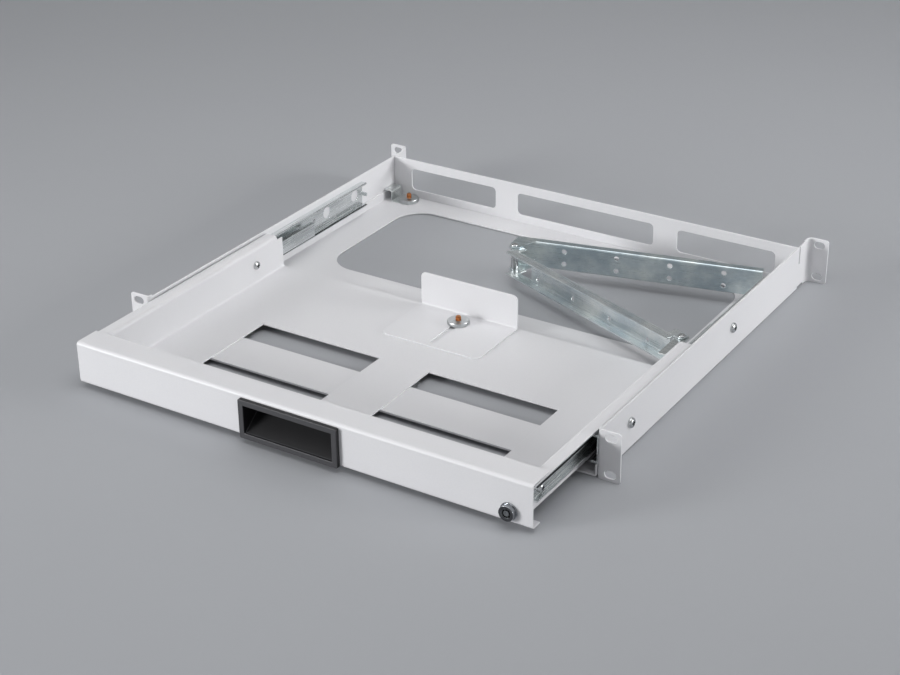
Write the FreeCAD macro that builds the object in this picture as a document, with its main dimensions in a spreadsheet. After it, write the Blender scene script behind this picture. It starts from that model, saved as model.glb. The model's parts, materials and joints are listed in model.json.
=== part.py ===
import FreeCAD, Part
import math
import os
import Sketcher
from types import SimpleNamespace

# A one-unit 19-inch rack drawer for a keyboard, on ball slides, with a folding cable arm.
# Frame: X to the right, Y back into the rack, Z up. The origin is the middle of the four front
# ear slots, on the front face of the ears. The drawer stands pulled out by pull_out.

Vector = FreeCAD.Vector

# Driving dimensions, in millimetres and degrees
SIZES = {
    # rack interface
    "ear_span": 482.6,
    "ear_height": 44,
    "ear_corner": 2.5,
    "slot_inset": 8.75,
    "slot_rise": 31.75,
    "slot_width": 6.8,
    "slot_length": 10.3,
    # chassis sheet metal
    "ear_reach": 20.3,
    "rear_ear_stand": 24.5,
    "chassis_sheet": 1.5,
    "wall_height": 42,
    "wall_drop": 21.5,
    "wall_step_set": 5,
    "wall_slit": 1.8,
    "wall_slit_depth": 17.5,
    "wall_rear_rise": 2,
    "front_bend": 1.5,
    "rear_bend": 4.5,
    "pan_edge": 9,
    "pan_bend": 1,
    "pan_edge_short": 11,
    "pan_relief": 6,
    "rear_space": 61,
    "cut_out_margin": 37,
    "cut_out_back": 26,
    "cut_out_depth": 152,
    "cut_out_corner": 30,
    "front_cut_set": 30,
    "front_cut_depth": 135,
    "window_height": 22.5,
    "window_level": -0.25,
    "window_corner": 4.5,
    "window_margin": 21,
    "window_post": 25,
    "middle_window_width": 150,
    # ball slides
    "slide_space": 12.7,
    "slide_level": 2,
    "rail_sheet": 1.2,
    "rail_corner": 0.9,
    "outer_rail_front": 1.5,
    "outer_rail_length": 323.5,
    "outer_arm": 2,
    "outer_arm_reach": 7.2,
    "inner_rail_front": 16,
    "inner_rail_short": 2.5,
    "inner_arm": 1.6,
    "inner_arm_reach": 5.4,
    "ball_radius": 2.3,
    "ball_spread": 8.7,
    "ball_face": 1.9,
    "ball_place": 7,
    "ball_pitch": 14,
    "track_play": 0.12,
    "cage_place": 77,
    "cage_length": 78,
    "cage_sheet": 0.8,
    "cage_set": 2.2,
    "cage_reach": 8.4,
    "stop_tab_height": 4,
    "stop_tab_reach": 6,
    "access_hole_radius": 5.8,
    "access_hole_back": 13,
    "access_hole_rise": 1.5,
    "access_hole_pitch": 48,
    "rail_screw_place": 52,
    "rail_screw_pitch": 191,
    "rail_screw_radius": 2,
    "rail_screw_end": 0.4,
    "screw_head_radius": 4,
    "screw_head_height": 2.8,
    "hole_play": 0.15,
    # drawer sheet metal
    "pull_out": 95,
    "drawer_sheet": 1.2,
    "panel_gap": 2,
    "panel_height": 38,
    "panel_top": 20.6,
    "panel_flange": 24.5,
    "panel_lip": 11,
    "panel_bend": 1.6,
    "tray_short": 55,
    "tray_bend": 2,
    "tray_gap": 0.1,
    "tray_drop": 2,
    "tray_notch": 8,
    "tray_end_drop": 4,
    "tab_width": 14,
    "tab_height": 14,
    "opening_width": 125,
    "opening_between": 50,
    "opening_front": 56,
    "opening_depth": 106,
    "strap_front": 89,
    "strap_width": 45,
    "strap_overlap": 15,
    "strap_sheet": 2,
    "drawer_screw_front": 27,
    "drawer_screw_back": 41.5,
    # recessed pull
    "pull_width": 95,
    "pull_height": 35,
    "pull_level": 0.1,
    "pull_rise": 4,
    "pull_rim": 5,
    "pull_depth": 24,
    "pull_wall": 1.6,
    "pull_back": 8,
    "pull_corner": 1.5,
    "pull_play": 0.3,
    # lock
    "lock_inset": 20,
    "lock_level": -7.4,
    "lock_rim_radius": 7.4,
    "lock_face_radius": 6.5,
    "lock_rim_height": 1.2,
    "lock_rise": 5,
    "lock_barrel_radius": 5.5,
    "lock_barrel_length": 14,
    "lock_plug_radius": 4.1,
    "lock_plug_sink": 0.6,
    "lock_play": 0.06,
    "key_ring_radius": 3.3,
    "key_post_radius": 1.9,
    "key_ring_depth": 3,
    "lock_nut_flats": 13.5,
    "lock_nut_height": 3,
    "cam_sheet": 1.5,
    "cam_width": 9,
    "cam_reach": 13.8,
    "cam_gap": 0.2,
    "cam_neck_radius": 2.6,
    "cam_screw_radius": 1.3,
    "cam_screw_head_radius": 3,
    "cam_screw_head": 1.8,
    "cam_screw_length": 6,
    "cam_slot_play": 1,
    # keyboard stop and its stud and nut
    "stop_back": 70,
    "stop_width": 100,
    "stop_depth": 67,
    "stop_height": 33,
    "stop_sheet": 1.5,
    "stop_bend": 1.5,
    "stop_plate_corner": 6,
    "stop_flange_corner": 5,
    "stop_slot_set": 5,
    "stop_slot_length": 58,
    "stop_slot_width": 5.8,
    "stud_back": 20.5,
    "stud_radius": 2.5,
    "stud_length": 9,
    "stud_chamfer": 0.6,
    "nut_radius": 10,
    "nut_height": 3.5,
    "nut_chamfer": 0.6,
    "thread_play": 0.08,
    "seat_gap": 0.1,
    # cable clip at the rear left
    "clip_inset": 25,
    "clip_back": 12,
    "clip_width": 18,
    "clip_sheet": 0.8,
    "clip_tail": 9,
    "clip_reach": 15,
    "clip_rise": 11,
    "clip_lip": 9,
    "clip_bend": 1.5,
    # cable arm
    "arm_level": 2,
    "arm_sheet": 1.2,
    "arm_bend": 0.8,
    "arm_play": 0.2,
    "front_link_height": 23,
    "front_reach": 227.6,
    "front_angle": 21.66,
    "front_set": 4.6,
    "front_flange": 9,
    "front_hole_first": 37.7,
    "rear_angle": 12.86,
    "rear_set": 13.55,
    "rear_flange": 6.2,
    "rear_hole_first": 43.7,
    "rear_link_lap": 3,
    "rear_link_over": 5.5,
    "wall_pivot_set": 6.3,
    "wall_pivot_inset": 18,
    "drawer_pivot_inset": 5.6,
    "drawer_pivot_back": 11,
    "link_end_set": 4,
    "link_web_set": 9,
    "elbow_web_set": 31,
    "link_ear_radius": 4.8,
    "link_ear_root": 12,
    "arm_hole_radius": 2.4,
    "arm_hole_pitch": 50,
    "arm_hole_rise": 12.5,
    "pin_radius": 2.2,
    "pin_play": 0.06,
    "pin_head_radius": 3.2,
    "pin_head": 1.1,
    "elbow_spacer_radius": 3.5,
    "drawer_bracket_length": 24,
    "bracket_sheet": 1.2,
    "bracket_bend": 0.8,
    "wall_bracket_sheet": 1.5,
    "wall_bracket_gap": 11,
    "wall_bracket_length": 30,
    "wall_bracket_rise": 20,
    "wall_lug_margin": 4,
    "pivot_slot_front": 8.1,
    "pivot_slot_back": 1.5,
    "pivot_slot_left": 3.3,
    "pivot_slot_right": 0.9,
    "rivet_radius": 1.6,
    "rivet_head_radius": 3,
    "rivet_head": 1,
    "rivet_pitch": 14,
}

BALLS_PER_ROW = 6
HOLES_PER_ROW = 4
SIDES = {"left": -1, "right": 1}


class Size:
    """A length together with the sheet expression that it comes from."""

    def __init__(self, value, text):
        self.value = value
        self.text = text

    def __add__(self, other):
        other = as_size(other)
        return Size(self.value + other.value, f"({self.text} + {other.text})")

    def __radd__(self, other):
        return as_size(other) + self

    def __sub__(self, other):
        other = as_size(other)
        return Size(self.value - other.value, f"({self.text} - {other.text})")

    def __rsub__(self, other):
        return as_size(other) - self

    def __mul__(self, other):
        other = as_size(other)
        return Size(self.value * other.value, f"({self.text} * {other.text})")

    def __rmul__(self, other):
        return as_size(other) * self

    def __truediv__(self, other):
        other = as_size(other)
        return Size(self.value / other.value, f"({self.text} / {other.text})")

    def __neg__(self):
        return Size(-self.value, f"(-{self.text})")


def as_size(number):
    if isinstance(number, Size):
        return number
    return Size(number, f"({number})")


def cosine(angle):
    return Size(math.cos(math.radians(angle.value)), f"cos({angle.text})")


def sine(angle):
    return Size(math.sin(math.radians(angle.value)), f"sin({angle.text})")


# The document and its sheet of sizes
doc = FreeCAD.newDocument("rack_keyboard_drawer")
sheet = doc.addObject("Spreadsheet::Sheet", "Sizes")
for row, (alias, number) in enumerate(SIZES.items(), start=1):
    sheet.set(f"A{row}", alias)
    sheet.set(f"B{row}", str(number))
    sheet.setAlias(f"B{row}", alias)
doc.recompute()
s = SimpleNamespace(**{alias: Size(number, f"Sizes.{alias}") for alias, number in SIZES.items()})

# Levels and faces that several pieces share
ear_end = s.ear_span / 2
plate_inner = ear_end - s.ear_reach
plate_outer = plate_inner + s.chassis_sheet
floor_bottom = -s.wall_drop
floor_top = floor_bottom + s.chassis_sheet
wall_top = floor_bottom + s.wall_height
tray_outer = plate_inner - s.slide_space
tray_inner = tray_outer - s.drawer_sheet
panel_bottom = s.panel_top - s.panel_height
tray_bottom = panel_bottom + s.drawer_sheet
tray_floor = tray_bottom + s.drawer_sheet
tray_top = s.panel_top - s.tray_drop
stop_plate_top = tray_floor + s.stop_sheet
outer_arm_face = s.ball_spread + s.ball_face
inner_arm_face = s.ball_spread - s.ball_face
panel_half = plate_inner - s.panel_gap
lock_x = panel_half - s.lock_inset
cam_front = s.lock_barrel_length + s.cam_gap
cam_back = cam_front + s.cam_sheet
pin_hole = s.pin_radius + s.pin_play

# Lengths back from the front: the outer rails set the depth of the chassis and of the drawer
rail_end = s.outer_rail_front + s.outer_rail_length
rear_panel_front = rail_end + s.rear_space
chassis_depth = rear_panel_front + s.chassis_sheet + s.rear_ear_stand
pan_edge_end = rear_panel_front - s.pan_edge_short
wall_bracket_front = rail_end + s.wall_bracket_gap
inner_rail_end = rail_end - s.inner_rail_short
inner_rail_length = inner_rail_end - s.inner_rail_front
tray_depth = rail_end - s.tray_short
drawer_screw_rear = tray_depth - s.drawer_screw_back
stop_front = tray_depth - s.stop_back
stud_place = tray_depth - s.stud_back

# Half heights of the arm's pieces: the rear link straddles the front link, which straddles its bracket
front_half = s.front_link_height / 2
rear_half = front_half + s.arm_play + s.arm_sheet
drawer_bracket_half = front_half - s.arm_sheet - s.arm_play

# Pivots of the cable arm, at rest
drawer_pivot = (tray_inner - s.drawer_pivot_inset, tray_depth + s.drawer_pivot_back - s.pull_out)
elbow = (
    drawer_pivot[0] - s.front_reach * cosine(s.front_angle),
    drawer_pivot[1] + s.front_reach * sine(s.front_angle),
)
wall_pivot_reach = s.rear_set + s.wall_pivot_set
wall_pivot_x = plate_inner - s.wall_pivot_inset
rear_run = wall_pivot_x - elbow[0] + wall_pivot_reach * sine(s.rear_angle)
rear_reach = rear_run / cosine(s.rear_angle)
wall_pivot_y = elbow[1] + rear_reach * sine(s.rear_angle) + wall_pivot_reach * cosine(s.rear_angle)
wall_pivot = (wall_pivot_x, wall_pivot_y)

# Drawing helpers


def bind(item, name, value):
    item.setExpression(name, as_size(value).text)


def new_body(label, place=(0, 0, 0), turn=None):
    """A body whose Placement follows the sheet; turn is an angle about Z."""
    body = doc.addObject("PartDesign::Body", label)
    body.Label = label
    if turn is not None:
        body.Placement = FreeCAD.Placement(Vector(), FreeCAD.Rotation(Vector(0, 0, 1), turn.value))
        bind(body, "Placement.Rotation.Angle", turn)
    for axis, distance in zip("xyz", place):
        bind(body, f"Placement.Base.{axis}", distance)
    return body


def drawer_body(label, x=0, y=0, z=0):
    """A body in the drawer's own frame, whose Y runs back from the front panel's face."""
    return new_body(label, (x, y - s.pull_out, z))


def origin_feature(body, role):
    return [item for item in body.Origin.OriginFeatures if item.Role == role][0]


def new_sketch(body, plane, level=0, rise=0):
    """A sketch on a plane of the body, at that level along the third axis, moved up by rise."""
    sketch = body.newObject("Sketcher::SketchObject", f"{body.Label}_{plane.lower()}")
    sketch.AttachmentSupport = (origin_feature(body, f"{plane}_Plane"), [""])
    sketch.MapMode = "FlatFace"
    # the normal of the XZ plane points to -Y
    bind(sketch, "AttachmentOffset.Base.z", -as_size(level) if plane == "XZ" else level)
    bind(sketch, "AttachmentOffset.Base.y", rise)
    return sketch


def pin_point(sketch, element, end, x, y):
    """Holds a point of the sketch at its distances from the origin."""
    for kind, distance in (("DistanceX", as_size(x)), ("DistanceY", as_size(y))):
        index = sketch.addConstraint(Sketcher.Constraint(kind, -1, 1, element, end, distance.value))
        sketch.setExpression(f"Constraints[{index}]", distance.text)


def set_radius(sketch, element, radius):
    index = sketch.addConstraint(Sketcher.Constraint("Radius", element, radius.value))
    sketch.setExpression(f"Constraints[{index}]", radius.text)


def circle(sketch, x, y, radius):
    x, y, radius = as_size(x), as_size(y), as_size(radius)
    shape = Part.Circle(Vector(x.value, y.value, 0), Vector(0, 0, 1), radius.value)
    element = sketch.addGeometry(shape, False)
    pin_point(sketch, element, 3, x, y)
    set_radius(sketch, element, radius)


def as_vector(spot):
    return Vector(spot[0].value, spot[1].value, 0)


def add_arc(sketch, centre, start, end):
    """Adds an arc that runs anticlockwise from start to end."""
    first = math.atan2(start.y - centre.y, start.x - centre.x)
    last = math.atan2(end.y - centre.y, end.x - centre.x)
    if last < first:
        last += 2 * math.pi
    whole = Part.Circle(centre, Vector(0, 0, 1), (start - centre).Length)
    return sketch.addGeometry(Part.ArcOfCircle(whole, first, last), False)


def outline(sketch, corners):
    """A closed outline through corners (x, y) or (x, y, radius of the rounded corner)."""
    count = len(corners)
    spots = [tuple(as_size(number) for number in corner) for corner in corners]
    entries = [spot[:2] for spot in spots]
    exits = [spot[:2] for spot in spots]
    bends = {}
    for index, spot in enumerate(spots):
        if len(spot) == 2:
            continue
        corner = as_vector(spot)
        before = (as_vector(spots[index - 1]) - corner).normalize()
        after = (as_vector(spots[(index + 1) % count]) - corner).normalize()
        half_angle = before.getAngle(after) / 2
        run = spot[2] / round(math.tan(half_angle), 7)
        entries[index] = (spot[0] + run * round(before.x, 7), spot[1] + run * round(before.y, 7))
        exits[index] = (spot[0] + run * round(after.x, 7), spot[1] + run * round(after.y, 7))
        centre = corner + (before + after).normalize() * (spot[2].value / math.sin(half_angle))
        bends[index] = (centre, after.cross(before).z > 0)
    lines = []
    for index in range(count):
        line = Part.LineSegment(as_vector(exits[index]), as_vector(entries[(index + 1) % count]))
        lines.append(sketch.addGeometry(line, False))
    for index in range(count):
        before, after = lines[index - 1], lines[index]
        pin_point(sketch, after, 1, *exits[index])
        if index not in bends:
            sketch.addConstraint(Sketcher.Constraint("Coincident", before, 2, after, 1))
            continue
        pin_point(sketch, before, 2, *entries[index])
        centre, turns_left = bends[index]
        ends = [as_vector(entries[index]), as_vector(exits[index])]
        arc = add_arc(sketch, centre, *(ends if turns_left else ends[::-1]))
        first, last = (1, 2) if turns_left else (2, 1)
        sketch.addConstraint(Sketcher.Constraint("Coincident", before, 2, arc, first))
        sketch.addConstraint(Sketcher.Constraint("Coincident", after, 1, arc, last))
        set_radius(sketch, arc, spots[index][2])


def rectangle(sketch, left, right, low, high, radius=None):
    corners = [(left, low), (right, low), (right, high), (left, high)]
    outline(sketch, corners if radius is None else [corner + (radius,) for corner in corners])


def slot(sketch, x, y, length, width, along="x"):
    """A round-ended slot with its middle at x, y."""
    x, y, radius = as_size(x), as_size(y), as_size(width) / 2
    half = as_size(length) / 2 - radius
    ends = [(x - half, y), (x + half, y)] if along == "x" else [(x, y - half), (x, y + half)]
    near, far = as_vector(ends[0]), as_vector(ends[1])
    ahead = (far - near).normalize()
    left = Vector(-ahead.y, ahead.x, 0) * radius.value
    left_line = sketch.addGeometry(Part.LineSegment(near + left, far + left), False)
    right_line = sketch.addGeometry(Part.LineSegment(near - left, far - left), False)
    near_arc = add_arc(sketch, near, near + left, near - left)
    far_arc = add_arc(sketch, far, far - left, far + left)
    sketch.addConstraint(
        [
            Sketcher.Constraint("Tangent", left_line, 1, near_arc, 1),
            Sketcher.Constraint("Tangent", right_line, 1, near_arc, 2),
            Sketcher.Constraint("Tangent", right_line, 2, far_arc, 1),
            Sketcher.Constraint("Tangent", left_line, 2, far_arc, 2),
        ]
    )
    pin_point(sketch, near_arc, 3, *ends[0])
    pin_point(sketch, far_arc, 3, *ends[1])
    set_radius(sketch, near_arc, radius)


def bent_sheet(sketch, path, thickness, bends, side="right"):
    """The section of a bent sheet: path is one face, the sheet lies on that side of it."""
    path = [tuple(as_size(number) for number in point) for point in path]
    hand = 1 if side == "right" else -1
    steps = []
    for start, end in zip(path, path[1:]):
        step = Vector(end[0].value - start[0].value, end[1].value - start[1].value, 0).normalize()
        steps.append((round(step.x), round(step.y)))
    normals = [(hand * step[1], -hand * step[0]) for step in steps]
    near = [path[0]]
    far = [tuple(path[0][axis] + normals[0][axis] * thickness for axis in (0, 1))]
    for index, bend in enumerate(bends, start=1):
        before, after = steps[index - 1], steps[index]
        turns_to_sheet = hand * (before[0] * after[1] - before[1] * after[0]) < 0
        inner, outer = as_size(bend), bend + thickness
        shift = [normals[index - 1][axis] + normals[index][axis] for axis in (0, 1)]
        corner = tuple(path[index][axis] + shift[axis] * thickness for axis in (0, 1))
        near.append(path[index] + ((outer,) if turns_to_sheet else (inner,)))
        far.append(corner + ((inner,) if turns_to_sheet else (outer,)))
    near.append(path[-1])
    far.append(tuple(path[-1][axis] + normals[-1][axis] * thickness for axis in (0, 1)))
    outline(sketch, near + far[::-1])


def sketch_axis(sketch):
    """The sign that turns a pad of this sketch towards the positive axis."""
    return -1 if sketch.Label.split("_")[-1].startswith("xz") else 1


def pad(body, sketch, length, symmetric=False):
    """A pad towards the positive axis, or to both sides."""
    feature = body.newObject("PartDesign::Pad", "Pad")
    feature.Profile = sketch
    bind(feature, "Length", length)
    feature.Reversed = sketch_axis(sketch) < 0
    if symmetric:
        feature.SideType = "Symmetric"
    return feature


def cut(body, sketch, length=None, symmetric=False):
    """A pocket towards the positive axis, or through everything both ways."""
    feature = body.newObject("PartDesign::Pocket", "Pocket")
    feature.Profile = sketch
    feature.Reversed = sketch_axis(sketch) > 0
    if length is None:
        feature.Type = "ThroughAll"
        feature.SideType = "Symmetric"
        return feature
    bind(feature, "Length", length)
    if symmetric:
        feature.SideType = "Symmetric"
    return feature


def revolve(body, sketch, axis):
    feature = body.newObject("PartDesign::Revolution", "Revolution")
    feature.Profile = sketch
    feature.ReferenceAxis = (sketch, [axis])
    feature.Angle = 360
    return feature


def row(body, features, axis, pitch, count):
    """Repeats features in a straight row along an axis of the body."""
    pattern = body.newObject("PartDesign::LinearPattern", "Row")
    pattern.Originals = features
    pattern.Direction = (origin_feature(body, f"{axis}_Axis"), [""])
    bind(pattern, "Length", pitch * (count - 1))
    pattern.Occurrences = count
    body.Tip = pattern
    return pattern


def round_edges(body, feature, radius, chosen):
    """Fillets the edges of a feature that the test chooses."""
    doc.recompute()
    names = []
    for index, edge in enumerate(feature.Shape.Edges, start=1):
        if chosen(edge):
            names.append(f"Edge{index}")
    fillet = body.newObject("PartDesign::Fillet", "Fillet")
    fillet.Base = (feature, names)
    bind(fillet, "Radius", radius)
    return fillet


# Chassis


def make_chassis_floor():
    body = new_body("chassis_floor")
    section = new_sketch(body, "XZ", 0)
    edge_top = floor_top + s.pan_edge
    path = [
        (plate_inner, edge_top),
        (plate_inner, floor_bottom),
        (-plate_inner, floor_bottom),
        (-plate_inner, edge_top),
    ]
    bent_sheet(section, path, s.chassis_sheet, [s.pan_bend, s.pan_bend])
    floor_depth = rear_panel_front + s.chassis_sheet
    pad(body, section, floor_depth)
    behind_edges = new_sketch(body, "XZ", pan_edge_end)
    rectangle(behind_edges, -plate_inner - 1, plate_inner + 1, floor_top, edge_top + 1)
    cut(body, behind_edges, floor_depth - pan_edge_end + 1)
    openings = new_sketch(body, "XY", 0)
    half_cut = plate_inner - s.cut_out_margin
    cut_back = rear_panel_front - s.cut_out_back
    rectangle(openings, -half_cut, half_cut, cut_back - s.cut_out_depth, cut_back, s.cut_out_corner)
    front_cut_back = s.front_cut_set + s.front_cut_depth
    rectangle(openings, -half_cut, half_cut, s.front_cut_set, front_cut_back, s.cut_out_corner)
    for hand in SIDES.values():
        relief = [hand * (plate_inner - s.pan_relief), hand * (plate_inner + 1)]
        rectangle(openings, *relief, pan_edge_end, pan_edge_end + s.pan_relief)
    # the lock cam drops into this slot when the drawer is shut
    keeper_right = lock_x + s.cam_width / 2 + s.cam_slot_play
    keeper_left = lock_x - s.cam_width - s.cam_slot_play
    keeper_back = cam_back + s.cam_slot_play
    rectangle(openings, keeper_left, keeper_right, cam_front - s.cam_slot_play, keeper_back)
    cut(body, openings)
    # room for the foot of the cable arm's bracket
    notch = new_sketch(body, "XZ", wall_bracket_front - 1)
    notch_low = s.arm_level + wall_lug_top() - s.wall_bracket_sheet - 1
    rectangle(notch, plate_inner - s.pan_relief, plate_inner + 1, notch_low, edge_top + 1)
    cut(body, notch, s.wall_bracket_length + 2)
    return body


def make_rear_panel():
    body = new_body("rear_panel")
    face = new_sketch(body, "XZ", rear_panel_front)
    rectangle(face, -plate_inner, plate_inner, floor_top, wall_top)
    low = s.window_level - s.window_height / 2
    high = s.window_level + s.window_height / 2
    half_middle = s.middle_window_width / 2
    rectangle(face, -half_middle, half_middle, low, high, s.window_corner)
    for hand in SIDES.values():
        edges = [hand * (half_middle + s.window_post), hand * (plate_inner - s.window_margin)]
        rectangle(face, *edges, low, high, s.window_corner)
    pad(body, face, s.chassis_sheet)
    return body


def make_side_plate(name, hand):
    body = new_body(f"{name}_side_plate")
    section = new_sketch(body, "XY", -s.ear_height / 2)
    path = [
        (hand * ear_end, 0),
        (hand * plate_inner, 0),
        (hand * plate_inner, chassis_depth),
        (hand * ear_end, chassis_depth),
    ]
    side = "right" if hand > 0 else "left"
    bent_sheet(section, path, s.chassis_sheet, [s.front_bend, s.rear_bend], side)
    bent = pad(body, section, s.ear_height)

    def is_ear_corner(edge):
        low, high = edge.BoundBox.XMin, edge.BoundBox.XMax
        at_end = min(abs(abs(low) - ear_end.value), abs(abs(high) - ear_end.value)) < 0.01
        across = edge.BoundBox.ZLength < 0.01 and edge.BoundBox.XLength < 0.01
        return at_end and across

    round_edges(body, bent, s.ear_corner, is_ear_corner)
    # the wall between the ears is lower than the ears
    steps = new_sketch(body, "YZ", 0)
    slit_front = rear_panel_front + s.chassis_sheet * 1.5
    slit_back = slit_front + s.wall_slit
    step_back = chassis_depth - s.rear_bend - s.chassis_sheet - s.wall_step_set
    rectangle(steps, s.wall_step_set, step_back, wall_top, s.ear_height)
    rectangle(steps, s.wall_step_set, step_back, -s.ear_height, floor_bottom)
    stepped = cut(body, steps)

    def is_step_corner(edge):
        box = edge.BoundBox
        along_x = box.YLength < 0.01 and box.ZLength < 0.01
        at_step = abs(box.YMin - step_back.value) < 0.01
        return along_x and at_step and box.ZMin > s.ear_height.value / 2 - 0.01

    round_edges(body, stepped, s.ear_corner * 0.4, is_step_corner)
    # behind the rear panel the wall is slit from its top edge and stands higher off the floor
    rear_reliefs = new_sketch(body, "YZ", 0)
    rectangle(rear_reliefs, slit_front, slit_back, wall_top - s.wall_slit_depth, wall_top + 1)
    rectangle(rear_reliefs, slit_front, step_back, floor_bottom - 1, floor_bottom + s.wall_rear_rise)
    cut(body, rear_reliefs)
    slots = new_sketch(body, "XZ", 0)
    for level in (-s.slot_rise / 2, s.slot_rise / 2):
        slot(slots, hand * (ear_end - s.slot_inset), level, s.slot_length, s.slot_width)
    cut(body, slots)
    screw_holes = new_sketch(body, "YZ", 0)
    for place in (s.rail_screw_place, s.rail_screw_place + s.rail_screw_pitch):
        circle(screw_holes, place, s.slide_level, s.rail_screw_radius + s.hole_play)
    cut(body, screw_holes)
    return body


# Ball slides


def rail_face(hand, distance):
    """X of a slide's point at that distance in from the chassis side plate."""
    return hand * (plate_inner - distance)


def cut_tracks(body, hand, start, length):
    tracks = new_sketch(body, "XZ", start)
    for level in (s.slide_level - s.ball_spread, s.slide_level + s.ball_spread):
        circle(tracks, rail_face(hand, s.ball_place), level, s.ball_radius + s.track_play)
    return cut(body, tracks, length)


def make_outer_rail(name, hand):
    body = new_body(f"{name}_outer_rail")
    section = new_sketch(body, "XZ", s.outer_rail_front)
    outside = outer_arm_face + s.outer_arm
    back, web = rail_face(hand, 0), rail_face(hand, s.rail_sheet)
    arm_end = rail_face(hand, s.outer_arm_reach)
    level = s.slide_level
    outline(
        section,
        [
            (back, level - outside, s.rail_corner),
            (arm_end, level - outside, s.rail_corner),
            (arm_end, level - outer_arm_face),
            (web, level - outer_arm_face),
            (web, level + outer_arm_face),
            (arm_end, level + outer_arm_face),
            (arm_end, level + outside, s.rail_corner),
            (back, level + outside, s.rail_corner),
        ],
    )
    pad(body, section, s.outer_rail_length)
    cut_tracks(body, hand, s.outer_rail_front, s.outer_rail_length)
    holes = new_sketch(body, "YZ", 0)
    last_hole = rail_end - s.access_hole_back
    for place in (last_hole - s.access_hole_pitch, last_hole):
        circle(holes, place, level + s.access_hole_rise, s.access_hole_radius)
    for place in (s.rail_screw_place, s.rail_screw_place + s.rail_screw_pitch):
        circle(holes, place, level, s.rail_screw_radius + s.hole_play)
    cut(body, holes)
    # the tab that stops the inner rail when the drawer is shut
    tab = new_sketch(body, "XY", level - s.stop_tab_height / 2)
    tab_end = rail_face(hand, s.rail_sheet + s.stop_tab_reach)
    outline(
        tab,
        [
            (back, rail_end - s.rail_sheet),
            (tab_end, rail_end - s.rail_sheet),
            (tab_end, rail_end),
            (back, rail_end),
        ],
    )
    pad(body, tab, s.stop_tab_height)
    return body


def make_inner_rail(name, hand):
    body = drawer_body(f"{name}_inner_rail")
    section = new_sketch(body, "XZ", s.inner_rail_front)
    outside = inner_arm_face
    inside = outside - s.inner_arm
    back = rail_face(hand, s.slide_space)
    web = rail_face(hand, s.slide_space - s.rail_sheet)
    arm_end = rail_face(hand, s.slide_space - s.inner_arm_reach)
    level = s.slide_level
    outline(
        section,
        [
            (back, level - outside, s.rail_corner),
            (arm_end, level - outside, s.rail_corner),
            (arm_end, level - inside),
            (web, level - inside),
            (web, level + inside),
            (arm_end, level + inside),
            (arm_end, level + outside, s.rail_corner),
            (back, level + outside, s.rail_corner),
        ],
    )
    pad(body, section, inner_rail_length)
    cut_tracks(body, hand, s.inner_rail_front, inner_rail_length)
    holes = new_sketch(body, "YZ", 0)
    for place in (s.drawer_screw_front, drawer_screw_rear):
        circle(holes, place, level, s.rail_screw_radius + s.hole_play)
    cut(body, holes)
    # the lug at the back end that meets the outer rail's tab
    lug = new_sketch(body, "XY", level - s.stop_tab_height / 2)
    lug_end = rail_face(hand, s.slide_space - s.rail_sheet - s.stop_tab_reach)
    outline(
        lug,
        [
            (back, inner_rail_end - s.rail_sheet),
            (lug_end, inner_rail_end - s.rail_sheet),
            (lug_end, inner_rail_end),
            (back, inner_rail_end),
        ],
    )
    pad(body, lug, s.stop_tab_height)
    return body


def first_ball_place():
    return s.cage_place + (s.cage_length - s.ball_pitch * (BALLS_PER_ROW - 1)) / 2


def make_ball_cage(name, hand):
    body = new_body(f"{name}_ball_cage")
    section = new_sketch(body, "XZ", s.cage_place)
    lip = s.ball_spread + s.cage_sheet / 2
    near, far = rail_face(hand, s.cage_set), rail_face(hand, s.cage_set + s.cage_reach)
    path = [
        (far, s.slide_level + lip),
        (near, s.slide_level + lip),
        (near, s.slide_level - lip),
        (far, s.slide_level - lip),
    ]
    side = "right" if hand > 0 else "left"
    bent_sheet(section, path, s.cage_sheet, [s.cage_sheet / 2, s.cage_sheet / 2], side)
    pad(body, section, s.cage_length)
    pockets = new_sketch(body, "XY", 0)
    circle(pockets, rail_face(hand, s.ball_place), first_ball_place(), s.ball_radius + s.track_play)
    doc.recompute()
    row(body, [cut(body, pockets)], "Y", s.ball_pitch, BALLS_PER_ROW)
    return body


def make_balls(name, hand):
    body = new_body(f"{name}_balls")
    balls = []
    for level in (s.slide_level - s.ball_spread, s.slide_level + s.ball_spread):
        ball = body.newObject("PartDesign::AdditiveSphere", "Ball")
        bind(ball, "Radius", s.ball_radius)
        ball.AttachmentSupport = (origin_feature(body, "XY_Plane"), [""])
        ball.MapMode = "FlatFace"
        bind(ball, "AttachmentOffset.Base.x", rail_face(hand, s.ball_place))
        bind(ball, "AttachmentOffset.Base.y", first_ball_place())
        bind(ball, "AttachmentOffset.Base.z", level)
        balls.append(ball)
    doc.recompute()
    row(body, balls, "Y", s.ball_pitch, BALLS_PER_ROW)
    return body


def make_screw(body, head_face, tip, hand, place):
    """One pan-head screw along X: its head stands on head_face, on the side away from the tip."""
    profile = new_sketch(body, "XZ", place, s.slide_level)
    head_top = head_face + hand * s.screw_head_height
    outline(
        profile,
        [
            (tip, 0),
            (tip, s.rail_screw_radius),
            (head_face, s.rail_screw_radius),
            (head_face, s.screw_head_radius),
            (head_top, s.screw_head_radius, s.screw_head_height * 0.6),
            (head_top, 0),
        ],
    )
    return revolve(body, profile, "H_Axis")


def make_chassis_rail_screws():
    body = new_body("chassis_rail_screws")
    screws = []
    for hand in SIDES.values():
        head_face = hand * plate_outer
        tip = rail_face(hand, s.rail_sheet + s.rail_screw_end)
        screws.append(make_screw(body, head_face, tip, hand, s.rail_screw_place))
    doc.recompute()
    row(body, screws, "Y", s.rail_screw_pitch, 2)
    return body


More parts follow.
